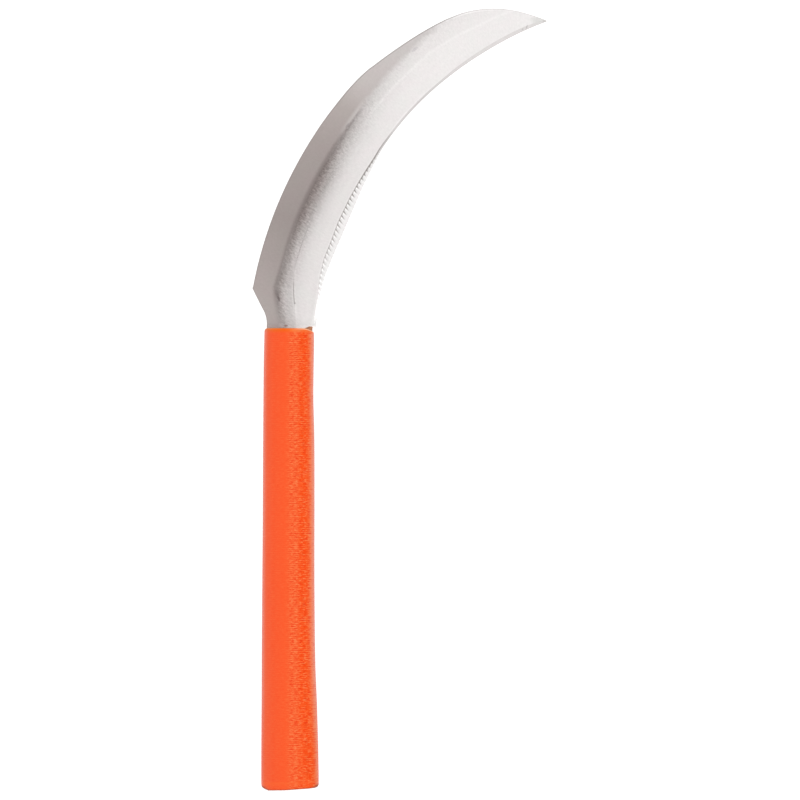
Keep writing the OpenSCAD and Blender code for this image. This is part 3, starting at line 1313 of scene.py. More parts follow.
@dataclass(frozen=True)
class Teeth:
    """The teeth, spaced evenly by length along the toothed edge and counted from the mouth."""

    points: list[Point]
    centre: Point
    end: Point
    count: int = 37
    rows: int = 8
    lowest: float = 3.6
    depth: float = 0.15
    out: float = 0.3
    grown_at: float = 9.0
    fading: float = 3.0
    lean: float = 0.3
    groove_steep: float = 0.30
    groove_gentle: float = 0.50

    @cached_property
    def bearings(self) -> list[float]:
        """Bearing of each point of the edge."""
        return [bearing_of(point, self.centre) for point in self.points]

    @cached_property
    def lengths(self) -> list[float]:
        """Length of the edge up to each of its points.

        Returns:
            The lengths, of which the first is 0.
        """
        made = [0.0]
        for one, other in zip(self.points, self.points[1:]):
            made.append(made[-1] + math.dist(one, other))
        return made

    @cached_property
    def length_by_bearing(self) -> Course:
        """Length of the edge up to a bearing."""
        return Course.through(zip(self.bearings, self.lengths))

    @cached_property
    def bearing_by_length(self) -> Course:
        """Bearing of the edge at a length."""
        return Course.through(zip(self.lengths, self.bearings))

    @cached_property
    def start(self) -> float:
        """Bearing at which the teeth start."""
        return next(b for b, point in zip(self.bearings, self.points) if point[1] >= self.lowest)

    @cached_property
    def stop(self) -> float:
        """Bearing at which the teeth stop."""
        return bearing_of(self.end, self.centre)

    @cached_property
    def first(self) -> float:
        """Length of the edge up to the first tooth."""
        return self.length_by_bearing.at(self.start)

    @cached_property
    def pitch(self) -> float:
        """Distance from tooth to tooth."""
        return (self.length_by_bearing.at(self.stop) - self.first) / self.count

    def row_bearings(self) -> list[float]:
        """Bearing of the edge at every row that cuts the teeth's shape."""
        step = self.pitch / self.rows
        return [self.bearing_by_length.at(self.first + i * step) for i in range(self.count * self.rows + 1)]

    def phase(self, bearing: float) -> tuple[float, float]:
        """Finds a place among the teeth.

        Args:
            bearing: Bearing of the edge there.

        Returns:
            The place within a tooth from 0 to 1, and how fully the teeth are cut there.
        """
        count = (self.length_by_bearing.at(bearing) - self.first) / self.pitch
        cut = ease(count, 0.0, self.grown_at) * (1 - ease(count, self.count - self.fading, self.count))
        return count % 1.0, cut

    def gullet(self, phase: float) -> float:
        """Depth of the edge at a place within a tooth, 1 at the gullet and 0 at the tip."""
        steep = 1 - phase / self.lean
        return steep if phase < self.lean else (phase - self.lean) / (1 - self.lean)

    def groove(self, phase: float) -> float:
        """Depth of the groove across the bevel at a place within a tooth.

        Args:
            phase: The place, from 0 to 1.

        Returns:
            The depth, 1 at its deepest.
        """
        if phase < self.groove_steep:
            return 1 - phase / self.groove_steep
        return max(0.0, (phase - self.groove_gentle) / (1 - self.groove_gentle))


@dataclass(frozen=True)
class Blade:
    """Sheet steel blade and tang, laid out by bearing about the centre of its back."""

    mouth: Mouth
    holes: PinHoles
    sheet_t: float = 1.5
    ground_t: float = 0.5
    ground_w: float = 17.0
    hollow: float = 0.15
    edge_t: float = 0.12
    heel: Point = (-15.8, 18.2)
    heel_foot: Point = (-16.1, 17.85)
    shoulder: Point = (35.0, 114.0)
    crown: Point = (73.7, 137.6)
    tip: Point = (112.8, 134.4)
    saw_end: Point = (39.9, 77.6)
    back_r: float = 181.0
    hook_r: float = 158.0
    nose_r: float = 50.0
    plain_r: float = 147.0
    neck_side: float = -9.85
    neck_foot: float = 2.4
    neck_touch: Point = (-10.90, 7.32)
    neck_r: float = 12.0
    tang_side: float = 9.55
    toothed_edge: tuple[Point, ...] = (
        (11.55, 0.9), (12.2, 5.8), (12.85, 11.1), (14.0, 16.9), (15.35, 22.4), (18.3, 29.8),
        (20.5, 35.1), (23.85, 42.8), (28.35, 53.4), (33.0, 63.9), (39.9, 77.6),
    )
    ridge_radii: Course = Course.through((
        (-0.03, 164.0), (0.01, 167.2), (0.03, 168.8), (0.055, 170.1), (0.075, 171.0), (0.09, 171.5),
        (0.105, 171.2), (0.12, 170.9), (0.147, 170.6), (0.20, 170.8), (0.42, 170.8),
        (0.46, 171.2), (0.51, 171.6), (0.55, 172.3), (0.60, 173.0), (0.64, 173.6), (0.69, 174.3),
        (0.73, 175.2), (0.78, 176.4), (0.85, 177.2), (1.0, 178.0),
    ))
    line_radii: Course = Course.through((
        (-0.03, 159.6), (0.004, 159.9), (0.022, 160.4), (0.04, 161.1), (0.06, 162.0), (0.08, 163.0),
        (0.107, 164.1), (0.14, 165.2), (0.205, 165.1), (0.35, 164.5), (0.45, 166.0), (0.51, 167.0),
        (0.55, 167.0), (0.60, 167.6), (0.66, 168.0), (0.72, 168.7), (0.78, 168.5), (0.84, 167.7),
        (0.90, 167.3), (1.0, 166.5),
    ))
    back_swell: Course = Course.through((
        (0.05, 0.0), (0.08, 0.12), (0.12, 0.10), (0.20, 0.05), (0.33, 0.08), (0.40, 0.14), (0.45, 0.25),
        (0.50, 0.27), (0.545, 0.38), (0.575, 0.31), (0.592, 0.10), (0.615, -0.28), (0.66, -0.38),
        (0.695, -0.32), (0.73, -0.13), (0.77, 0.04), (0.795, 0.10), (0.82, -0.11), (0.84, 0.0),
        (0.945, -0.02), (0.962, -0.11), (0.972, -0.03), (0.985, 0.22), (1.0, 0.55),
    ))
    edge_swell: Course = Course.through((
        (0.478, 0.0), (0.50, -0.20), (0.57, -0.29), (0.63, -0.26), (0.69, -0.12), (0.72, 0.0), (0.78, 0.14),
        (0.83, 0.21), (0.89, 0.16), (0.93, 0.04), (1.0, -0.08),
    ))
    bevel_widths: Course = Course.through((
        (0.0, 1.4), (0.055, 1.1), (0.087, 1.05), (0.118, 1.6), (0.149, 2.4), (0.181, 3.3), (0.213, 3.3),
        (0.245, 3.6), (0.278, 3.9), (0.31, 3.6), (0.343, 3.35), (0.376, 2.75), (0.414, 2.15),
        (0.457, 1.35), (0.479, 1.1), (0.51, 0.85), (0.56, 0.95), (0.70, 1.0), (0.76, 1.4), (0.82, 1.6),
        (0.88, 1.75), (0.94, 1.7), (1.0, 1.3),
    ))
    groove_fall: float = 49.0
    lean_grows: Point = (-3.0, 0.5)
    lean_fades: Point = (-0.5, 1.5)
    groove_depth: float = 0.16
    groove_run: Point = (0.20, 0.60)
    groove_fade: float = 0.94
    least_t: float = 0.08
    step_depth: float = 0.03
    step_fade: Point = (0.18, 0.25)
    plunge: Point = (-3.5, 9.0)
    rim_drop: float = 0.12
    tang_end: float = -196.0
    tang_flat_to: float = -20.0
    tang_last: Point = (-14.0, -9.0)
    tang_rows: int = 30
    tang_waist: Point = (-11.05, 9.65)
    tang_flare: float = 1.7
    waist_y: float = -121.0
    join_y: float = -8.0
    root_gap: float = 0.2
    first_row_y: float = -5.0
    rows: int = 150
    tip_rows: int = 40
    tip_reach: float = 4.0
    tip_gap: float = 0.03
    least_turn: float = 0.012
    band_columns: int = 4
    face_columns: int = 6
    edge_columns: int = 8
    rim_w: float = 0.15
    crest_w: float = 0.25
    crest_room: float = 0.35
    seam_w: float = 0.08
    bevel_room: float = 0.10
    bevel_most: float = 0.45
    seam_share: float = 0.3
    least_share: float = 0.004
    bevel_steps: tuple[float, ...] = (0.05, 0.16, 0.3, 0.46, 0.64, 0.82, 1.0)
    tang_past_ridge: float = -6.0
    back_past_ridge: float = -8.0
    far_off: float = -9.0
    sharp: float = 32.0

    @cached_property
    def centre(self) -> Point:
        """Centre of the back's first arc, from which every bearing is taken."""
        return arc_centre(self.heel, self.shoulder, self.back_r)

    @cached_property
    def half(self) -> float:
        """Half the sheet's thickness."""
        return self.sheet_t / 2

    @cached_property
    def mouth_bearing(self) -> float:
        """Bearing of the middle of the mouth."""
        return bearing_of((0.0, 0.0), self.centre)

    @cached_property
    def tip_bearing(self) -> float:
        """Bearing of the point."""
        return bearing_of(self.tip, self.centre)

    @cached_property
    def back_rail(self) -> Course:
        """Radius by bearing of the back, the heel and the neck.

        Returns:
            The radius.
        """
        back = arc(self.heel, self.shoulder, self.back_r) + arc(self.shoulder, self.crown, self.hook_r)
        back += [*arc(self.crown, self.tip, self.nose_r), self.heel_foot]
        foot = (self.neck_side, self.neck_foot)
        neck = [(self.neck_side, self.join_y), foot, *arc(self.neck_touch, foot, self.neck_r)]
        return self.rail(back + neck)

    @cached_property
    def edge_points(self) -> list[Point]:
        """Points of the cutting edge, from the mouth to the point."""
        return curve_through(self.toothed_edge) + arc(self.saw_end, self.tip, self.plain_r)

    @cached_property
    def edge_rail(self) -> Course:
        """Radius by bearing of the tang's cutting side and the cutting edge."""
        tang = [(self.tang_side, self.join_y), (self.tang_side, self.root_gap)]
        return self.rail(tang + self.edge_points)

    @cached_property
    def teeth(self) -> Teeth:
        """The teeth along the edge."""
        return Teeth(self.edge_points, self.centre, self.saw_end)

    def rail(self, points: Iterable[Point]) -> Course:
        """Radius by bearing of a line on the blade."""
        return Course.through((bearing_of(p, self.centre), math.dist(p, self.centre)) for p in points)

    def share(self, bearing: float) -> float:
        """How far up the blade a bearing is, from 0 at the mouth to 1 at the point."""
        return (self.mouth_bearing - bearing) / (self.mouth_bearing - self.tip_bearing)

    def lean(self, bearing: float) -> float:
        """Finds how far the edge of a row trails its bevel line toward the grip.

        Args:
            bearing: Bearing of the row's end on the edge.

        Returns:
            The angle, in degrees, which is 0 where there are no teeth.
        """
        fall = math.tan(math.radians(self.groove_fall - 180 + bearing))
        along = self.bevel_widths.at(self.share(bearing)) * fall
        faded = ease(bearing - self.teeth.stop, *self.lean_grows)
        faded *= 1 - ease(bearing - self.teeth.start, *self.lean_fades)
        return math.degrees(along / self.edge_rail.at(bearing)) * faded

    def bearings(self) -> list[float]:
        """Lays out the rows, from the sleeve up to the point.

        Returns:
            Bearing of the edge at each row.
        """
        low = bearing_of((self.neck_side, self.first_row_y), self.centre)
        high = self.tip_bearing + self.tip_gap
        made = [b for b in spread(low, high, self.rows) if not self.teeth.stop < b < self.teeth.start]
        made += spread(self.tip_bearing + self.tip_reach, high, self.tip_rows)
        made += self.teeth.row_bearings()
        for corner in (bearing_of(p, self.centre) for p in (self.heel, self.heel_foot)):
            made.append(corner + self.lean(corner))
        root = self.tang_side, self.root_gap
        made += [bearing_of(p, self.centre) for p in (self.toothed_edge[0], root)]
        ordered = sorted(set(made), reverse=True)
        return [b for b, after in zip(ordered, ordered[1:] + [0.0]) if b - after > self.least_turn]

    def lines(self, bearing: float) -> Lines:
        """Reads the blade's lines at a row.

        Args:
            bearing: Bearing of the row at its bevel line.

        Returns:
            Where the row crosses each line.
        """
        share = self.share(bearing)
        back = self.back_rail.at(bearing) + self.back_swell.at(share)
        edge = self.edge_radius(bearing)
        bevel = edge + min(self.bevel_widths.at(share), self.bevel_most * (back - edge))
        return Lines(share, back, self.ridge_radii.at(share), self.line_radii.at(share), edge, bevel)

    def edge_radius(self, bearing: float) -> float:
        """Radius of the cutting edge, without its teeth."""
        return self.edge_rail.at(bearing) - self.edge_swell.at(self.share(bearing))

    def height(self, radius: float, bearing: float, lines: Lines) -> float:
        """Finds the height of the front face above the sheet's middle, back of the bevel.

        Args:
            radius: Radius of the place.
            bearing: Bearing of the place.
            lines: The lines of its row.

        Returns:
            The height.
        """
        t = clamp((lines.ridge - radius) / self.ground_w, 0.0, 1.0)
        drop = (self.sheet_t - self.ground_t) * t + 4 * self.hollow * t * (1 - t)
        near = 1 - ease(lines.share, *self.step_fade)
        step = self.step_depth * near * ease(lines.line - radius, -self.seam_w, self.seam_w)
        _, y = polar(self.centre, radius, bearing)
        return self.half - (drop + step) * ease(y, *self.plunge)

    def radii(self, lines: Lines) -> list[float]:
        """Lays out the columns of a row from the back to the bevel line.

        Args:
            lines: The row's lines.

        Returns:
            The radius of every column, each a little less than the one before.
        """
        rim, start = lines.back - self.rim_w, lines.bevel
        crest = min(lines.ridge, lines.back - self.crest_room)
        room = self.seam_share * (crest - start)
        seam = min(max(lines.line, start + room), crest - room)
        wanted = [lines.back, rim, *spread(rim, crest + self.crest_w, self.band_columns)[1:]]
        wanted += [crest, crest - self.crest_w]
        wanted += spread(crest - self.crest_w, seam + self.seam_w, self.face_columns)[1:]
        wanted += [*spread(seam - self.seam_w, start + self.bevel_room, self.edge_columns), start]
        least = (lines.back - lines.edge) * self.least_share
        for k in range(1, len(wanted)):
            wanted[k] = min(wanted[k], wanted[k - 1] - least)
        floor = start
        for k in range(len(wanted) - 1, 0, -1):
            wanted[k] = max(wanted[k], floor)
            floor = wanted[k] + least
        return wanted

    def row(self, edge_bearing: float) -> list[Spot]:
        """The front face's points from the back to the edge.

        Args:
            edge_bearing: Bearing of the row's end on the cutting edge.

        Returns:
            The points, with their traces.
        """
        bearing = edge_bearing - self.lean(edge_bearing)
        lines = self.lines(bearing)
        spots = []
        for k, radius in enumerate(self.radii(lines)):
            z = self.height(radius, bearing, lines) - (self.rim_drop if k == 0 else 0.0)
            spots.append(self.spot(radius, bearing, z, lines, 0.0))
        phase, cut = self.teeth.phase(edge_bearing)
        tooth = (self.teeth.gullet(phase) - self.teeth.out) * self.teeth.depth * cut
        end = self.edge_radius(edge_bearing) + tooth
        groove = self.teeth.groove(phase) * cut
        full = spots[-1].z + self.half
        for b in self.bevel_steps:
            carved = groove * (1 - self.groove_fade * ease(b, *self.groove_run))
            thick = blend(full, self.edge_t, b) - self.groove_depth * carved
            z = max(thick, self.least_t) - self.half
            radius, turn = blend(lines.bevel, end, b), blend(bearing, edge_bearing, b)
            spots.append(self.spot(radius, turn, z, lines, groove * (1 - b)))
        return spots

    def spot(self, radius: float, bearing: float, z: float, lines: Lines, notch: float) -> Spot:
        """Makes one point of a row from its polar place.

        Args:
            radius: Its radius.
            bearing: Its bearing.
            z: Its height.
            lines: The lines of its row.
            notch: How deep in a notch it lies.

        Returns:
            The point.
        """
        past = (line - radius for line in (lines.ridge, lines.line, lines.bevel, lines.back))
        return Spot(*polar(self.centre, radius, bearing), z, lines.share, *past, notch)

    def tang(self, first: list[Spot]) -> list[list[Spot]]:
        """Lays out the flat tang, from its end up to the first row of the blade.

        Args:
            first: The blade's first row.

        Returns:
            The tang's rows, with as many points each as the first has.
        """
        wide = first[-1].x - first[0].x
        shares = [(spot.x - first[0].x) / wide for spot in first]
        made = []
        for y in [*spread(self.tang_end, self.tang_flat_to, self.tang_rows), *self.tang_last]:
            t = clamp(y / self.waist_y, 0.0, 1.0)
            past = max(0.0, (y - self.waist_y) / (self.tang_end - self.waist_y))
            left = blend(self.neck_side, self.tang_waist[0], t)
            right = blend(self.tang_side, self.tang_waist[1], t) + self.tang_flare * past
            row = [
                Spot(blend(left, right, share), y, self.half, 0.0, self.tang_past_ridge, self.far_off,
                     self.far_off, spot.from_back, 0.0)
                for share, spot in zip(shares, first)
            ]
            made.append([replace(row[0], z=self.half - self.rim_drop), *row[1:]])
        return made

    def underside(self, spot: Spot, rim: bool) -> Spot:
        """Finds the point of the flat back face under a front one.

        Args:
            spot: The front point.
            rim: Whether it lies on the rim of the back, which is rounded a little.

        Returns:
            The point under it.
        """
        z = (self.rim_drop if rim else 0.0) - self.half
        return replace(spot, z=z, past_ridge=self.back_past_ridge, past_line=self.far_off,
                       past_bevel=self.far_off, notch=0.0)

    def build(self, finish: bpy.types.Material) -> bpy.types.Object:
        """Builds the blade with its tang.

        Args:
            finish: The steel's material.

        Returns:
            The piece, riding on the body.
        """
        blade = [self.row(bearing) for bearing in self.bearings()]
        rows = self.tang(blade[0]) + blade
        shell = Shell()
        front, back = [], []
        for row in rows:
            under = [self.underside(spot, k == 0) for k, spot in enumerate(row)]
            front.append([shell.add((s.x, s.y, s.z), **s.told()) for s in row])
            back.append([shell.add((s.x, s.y, s.z), **s.told()) for s in under])
        for i in range(len(rows) - 1):
            shell.strip(front[i], front[i + 1])
            shell.strip(back[i + 1], back[i])
        shell.strip(self.border(front), self.border(back), closed=True)
        piece = shell.finish("blade_steel_sheet", self.mouth, self.sharp)
        self.holes.drill(piece)
        piece.data.materials.append(finish)
        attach(piece, BODY)
        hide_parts("blade")
        return piece

    @staticmethod
    def border(rows: list[list[int]]) -> list[int]:
        """Goes round the rim of a sheet of rows.

        Args:
            rows: Vertices of the sheet, row by row.

        Returns:
            The vertices of its rim, in order.
        """
        up = [row[-1] for row in rows[1:]]
        down = [row[0] for row in rows[-2::-1]]
        return rows[0] + up + rows[-1][-2::-1] + down[:-1]


@dataclass(frozen=True)
class Grip:
    """Sizes of the grip that its wood and its sleeve share, in the mouth's frame."""

    length: float = 201.35
    half_t: float = 7.5
    corner: float = 5.0
    heel_side: Course = Course.through(curve_through((
        (0.0, -10.85), (-14.0, -11.15), (-31.0, -11.32), (-52.0, -11.47), (-80.0, -11.58),
        (-110.0, -11.82), (-136.0, -11.99), (-162.0, -12.10), (-184.0, -12.25), (-202.0, -12.27),
    )))
    cut_side: Course = Course.through(curve_through((
        (0.0, 10.65), (-7.0, 10.72), (-20.0, 10.52), (-31.0, 10.45), (-50.0, 10.90), (-80.0, 10.94),
        (-110.0, 10.92), (-136.0, 11.12), (-150.0, 11.42), (-163.0, 11.97), (-184.0, 12.56), (-202.0, 12.86),
    )))
    slope: float = math.tan(math.radians(4.0))
    level_from: float = -2.0
    level_share: float = 0.2
    crown: float = 0.28

    def tilt(self, x: float) -> float:
        """How far the butt's end lies up the grip at a place across it, for it slopes on one side."""
        return self.slope * max(x, blend(self.level_from, x, self.level_share))

    def sides(self, y: float) -> Point:
        """Where the heel side and the cutting side are, as X, at a place along the grip."""
        return self.heel_side.at(y), self.cut_side.at(y)


@dataclass(frozen=True)
class Section:
    """The rounded section of the grip as places round it, the same number at every Y."""

    grip: Grip
    front_steps: int = 22
    back_steps: int = 8
    side_steps: int = 3
    corner_steps: int = 7

    def ring(self, y: float, inset: float) -> list[Place]:
        """Points round the grip, from the heel side over the front to the cutting side and back.

        Args:
            y: Place along the grip.
            inset: How far the ring lies inside the grip's outside.

        Returns:
            (x, z, crown) of each point, where crown is its share of the front's rise.
        """
        left, right = self.grip.sides(y)
        r = self.grip.corner
        low, high = left + r, right - r
        lift = self.grip.half_t - r
        away = r - inset
        made = []
        for x in spread(low, high, self.front_steps):
            middle = (2 * x - low - high) / (high - low)
            made.append((x, lift + away, 1 - middle * middle))
        made += self.corner_points(high, lift, 90, 0, away)
        made += [(high + away, z, 0.0) for z in spread(lift, -lift, self.side_steps)[1:-1]]
        made += self.corner_points(high, -lift, 0, -90, away)
        made += [(x, -lift - away, 0.0) for x in spread(high, low, self.back_steps)[1:-1]]
        made += self.corner_points(low, -lift, -90, -180, away)
        made += [(low - away, z, 0.0) for z in spread(-lift, lift, self.side_steps)[1:-1]]
        made += self.corner_points(low, lift, 180, 90, away)[:-1]
        return made

    def corner_points(self, x: float, z: float, start: float, end: float, radius: float) -> list[Place]:
        """Lays out one rounded corner.

        Args:
            x: X of the corner's centre.
            z: Z of the corner's centre.
            start: Bearing of its first point, in degrees.
            end: Bearing of its last point.
            radius: Its radius.

        Returns:
            Its points as ring gives them, without the one that the front face has already.
        """
        turns = spread(start, end, self.corner_steps)
        if start == 90:
            turns = turns[1:]
        return [(*polar((x, z), radius, turn), 0.0) for turn in turns]


@dataclass(frozen=True)
class Sleeve:
    """Vinyl sleeve with fine ribs, a soft lip at the mouth and its own closed butt."""

    mouth: Mouth
    grip: Grip
    wall: float = 0.7
    end_t: float = 1.2
    rib_pitch: float = 0.88
    rib_height: float = 0.035
    rib_rows: int = 5
    rib_wander: float = 0.16
    rib_swell: Point = (0.75, 0.5)
    heel_ribs: float = 0.6
    ribs_grow: Point = (-3.0, 1.0)
    side_lean: float = 0.25
    smooth_mouth: Point = (1.3, 4.16)
    smooth_butt: Point = (7.0, 14.0)
    lip_steps: int = 6
    lip_up: float = 0.25
    # Lip trace of the painted glow just under the lip, which fades out by glow_reach.
    lip_glow: float = 0.6
    glow_from: float = 0.3
    glow_reach: float = 2.8
    rim_fades: float = 3.5
    slope_from: float = 14.0
    # Painted light on the strip beside the butt: its trace level, and how far from the butt's end it starts
    # and is full.
    butt_light: float = 0.75
    butt_light_from: float = 4.6
    butt_light_full: float = 2.4
    crown_level: float = 0.55
    heel_corner: Point = (-9.4, 1.6)
    cut_corner: Place = (6.0, 0.10, 1.85)
    butt_heel: Point = (5.2, 2.5)
    butt_cut: Point = (1.5, 1.5)
    butt_rim: float = 1.2
    butt_most: float = 0.9
    butt_turns: tuple[int, ...] = (12, 26, 40, 54, 68, 80, 90)
    butt_shares: tuple[float, ...] = (0.8, 0.45, 0.01)
    butt_sides: float = 9.0
    butt_hollow: float = 0.05
    floor_shares: tuple[float, ...] = (0.01, 0.5, 1.0)
    floor_inset: float = 0.6
    floor_rounding: tuple[Point, ...] = ((0.25, 0.2), (0.7, 0.0))
    inside_places: tuple[float, ...] = (-160.0, -121.0, -80.0, -40.0, -12.0, -6.0, -3.0, -1.5)
    outside_from: float = -0.8
    outside_to: float = 3.2
    sharp: float = 60.0

    @cached_property
    def section(self) -> Section:
        """The section that every ring follows."""
        return Section(self.grip)

    def dip(self, x: float) -> float:
        """Finds how far the mouth's rim falls back in its two worn corners.

        Args:
            x: Place across the mouth.

        Returns:
            The distance, below 0 where the rim stands up.
        """
        start, radius = self.heel_corner
        over = clamp(start - x, 0.0, radius)
        heel = radius - math.sqrt(radius * radius - over * over)
        start, gain, power = self.cut_corner
        return heel + gain * max(x - start, 0.0) ** power - self.lip_up

    def slid(self, y: float, x: float) -> float:
        """Takes up the rim's dip and the butt's slope.

        Args:
            y: Nominal place along the grip.
            x: Place across it.

        Returns:
            The true place along the grip.
        """
        near_mouth = math.exp(min(y, 0.0) / self.rim_fades)
        near_butt = ease(-y, self.grip.length - self.slope_from, self.grip.length)
        return y - self.dip(x) * near_mouth + self.grip.tilt(x) * near_butt

    def rib(self, x: float, y: float) -> float:
        """Finds the height of the ribs, which are uneven as stretched vinyl is.

        Args:
            x: Place across the grip.
            y: Place along it.

        Returns:
            The height, from -1 to 1.
        """
        wander = self.rib_wander * noise.noise(Vector((x * 0.16, y * 0.22, 3.7)))
        wave = math.cos(2 * math.pi * (y / self.rib_pitch + wander))
        swell = self.rib_swell[0] + self.rib_swell[1] * noise.noise(Vector((x * 0.3, y * 0.5, 9.1)))
        shown = ease(-y, *self.smooth_mouth) * ease(y + self.grip.length, *self.smooth_butt)
        return wave * swell * shown

    def crowned(self, crown: float) -> float:
        """Rise of the front at a point of the section, by its share of the crown."""
        return self.grip.crown * (crown - self.crown_level) if crown > 0 else 0.0

    def outer_ring(self, shell: Shell, y: float) -> list[int]:
        """Adds a ring of the outside.

        Args:
            shell: The mesh.
            y: Nominal place along the grip.

        Returns:
            The ring's vertices.
        """
        made = []
        lip = self.lip_glow * (1 - ease(-y, self.glow_from, self.glow_reach))
        end = self.grip.length
        # Trace for the painted light on the strip beside the butt.
        butt = self.butt_light * ease(-y, end - self.butt_light_from, end - self.butt_light_full)
        for x, z, crown in self.section.ring(y, 0.0):
            rib = self.rib(x, y)
            height = rib * self.rib_height * blend(self.heel_ribs, 1.0, ease(x, *self.ribs_grow))
            out = Vector((x * self.side_lean, z)).normalized() * height
            place = (x + out.x, self.slid(y, x), z + out.y + self.crowned(crown))
            made.append(shell.add(place, rib=rib, lip=lip, butt=butt))
        return made

    def inner_ring(self, shell: Shell, y: float, inset: float, lip: float = 0.0) -> list[int]:
        """Adds a ring of the inside or of the lip, set in from the grip's outside."""
        ring = self.section.ring(y, inset)
        return [shell.add((x, self.slid(y, x), z), rib=0.0, lip=lip, butt=0.0) for x, z, _ in ring]

    def cap(self, shell: Shell, y: float, outline: list[Point], share: float) -> list[int]:
        """Adds a ring that lies in an end face.

        Args:
            shell: The mesh.
            y: Place of the end face.
            outline: The face's outline, as X and Z.
            share: How much of the outline's size the ring has.

        Returns:
            The ring's vertices.
        """
        middle = sum(x for x, _ in outline) / len(outline)
        made = []
        for x, z in outline:
            drawn = middle + (x - middle) * share
            place = (drawn, y + self.grip.tilt(drawn), z * share)
            made.append(shell.add(place, rib=0.0, lip=0.0, butt=1.0))
        return made

    def inside(self, shell: Shell) -> list[list[int]]:
        """Adds the rings from the closed end's inside up to the lip.

        Args:
            shell: The mesh.

        Returns:
            The rings.
        """
        floor = self.end_t - self.grip.length
        edge = [(x, z) for x, z, _ in self.section.ring(floor, self.wall + self.floor_inset)]
        rings = [self.cap(shell, floor, edge, share) for share in self.floor_shares]
        for up, inset in self.floor_rounding:
            rings.append(self.inner_ring(shell, floor + up, self.wall + inset))
        rings += [self.inner_ring(shell, y, self.wall) for y in self.inside_places]
        return rings

    def lip(self, shell: Shell) -> list[list[int]]:
        """Adds the rings over the rounded lip.

        Args:
            shell: The mesh.

        Returns:
            The rings, from the inside to the outside.
        """
        half = self.wall / 2
        rings = []
        for turn in spread(180, 0, self.lip_steps):
            a = math.radians(turn)
            rings.append(self.inner_ring(shell, half * (math.sin(a) - 1), half * (1 - math.cos(a)), 1.0))
        return rings

    def outside(self, shell: Shell) -> list[list[int]]:
        """Adds the rings from the lip down the ribbed outside to the start of the butt's rounding.

        Args:
            shell: The mesh.

        Returns:
            The rings, mouth first.
        """
        start, end = self.outside_from, self.outside_to - self.grip.length
        count = round((start - end) / self.rib_pitch * self.rib_rows)
        return [self.outer_ring(shell, y) for y in spread(start, end, count)]

    def butt(self, shell: Shell) -> list[list[int]]:
        """Adds the rings round the butt's rim and in over its end face.

        Args:
            shell: The mesh.

        Returns:
            The rings.
        """
        rings = []
        end = -self.grip.length
        nominal = self.section.ring(end, 0.0)
        for turn in self.butt_turns:
            cos, sin = math.cos(math.radians(turn)), math.sin(math.radians(turn))
            ring = []
            for x, z, crown in nominal:
                across = ease(x, -self.butt_sides, self.butt_sides)
                wide, high = (blend(*pair, across) for pair in zip(self.butt_heel, self.butt_cut))
                over = max(abs(x) - self.grip.half_t, 0.0)
                way = Vector((math.copysign(over, x), z)).normalized()
                in_x = min(wide * (1 - cos), self.butt_most * over) * way.x
                in_z = self.butt_rim * (1 - cos) * way.y
                up = blend(self.butt_rim, high, abs(way.x)) * (1 - sin)
                place = (x - in_x, self.grip.tilt(x) + up + end, z - in_z + self.crowned(crown))
                ring.append(shell.add(place, rib=0.0, lip=0.0, butt=1.0))
            rings.append(ring)
        flat = [(x, z) for x, _, z in (shell.places[i] for i in rings[-1])]
        rings += [self.cap(shell, end - self.butt_hollow, flat, share) for share in self.butt_shares]
        return rings

    def build(self, finish: bpy.types.Material) -> bpy.types.Object:
        """Builds the sleeve.

        Args:
            finish: The vinyl's material.

        Returns:
            The piece, riding on the body.
        """
        shell = Shell()
        shell.skin(self.inside(shell) + self.lip(shell) + self.outside(shell) + self.butt(shell))
        piece = shell.finish("sleeve_vinyl_skin", self.mouth, self.sharp)
        piece.data.materials.append(finish)
        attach(piece, BODY)
        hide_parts("grip_sleeve")
        return piece


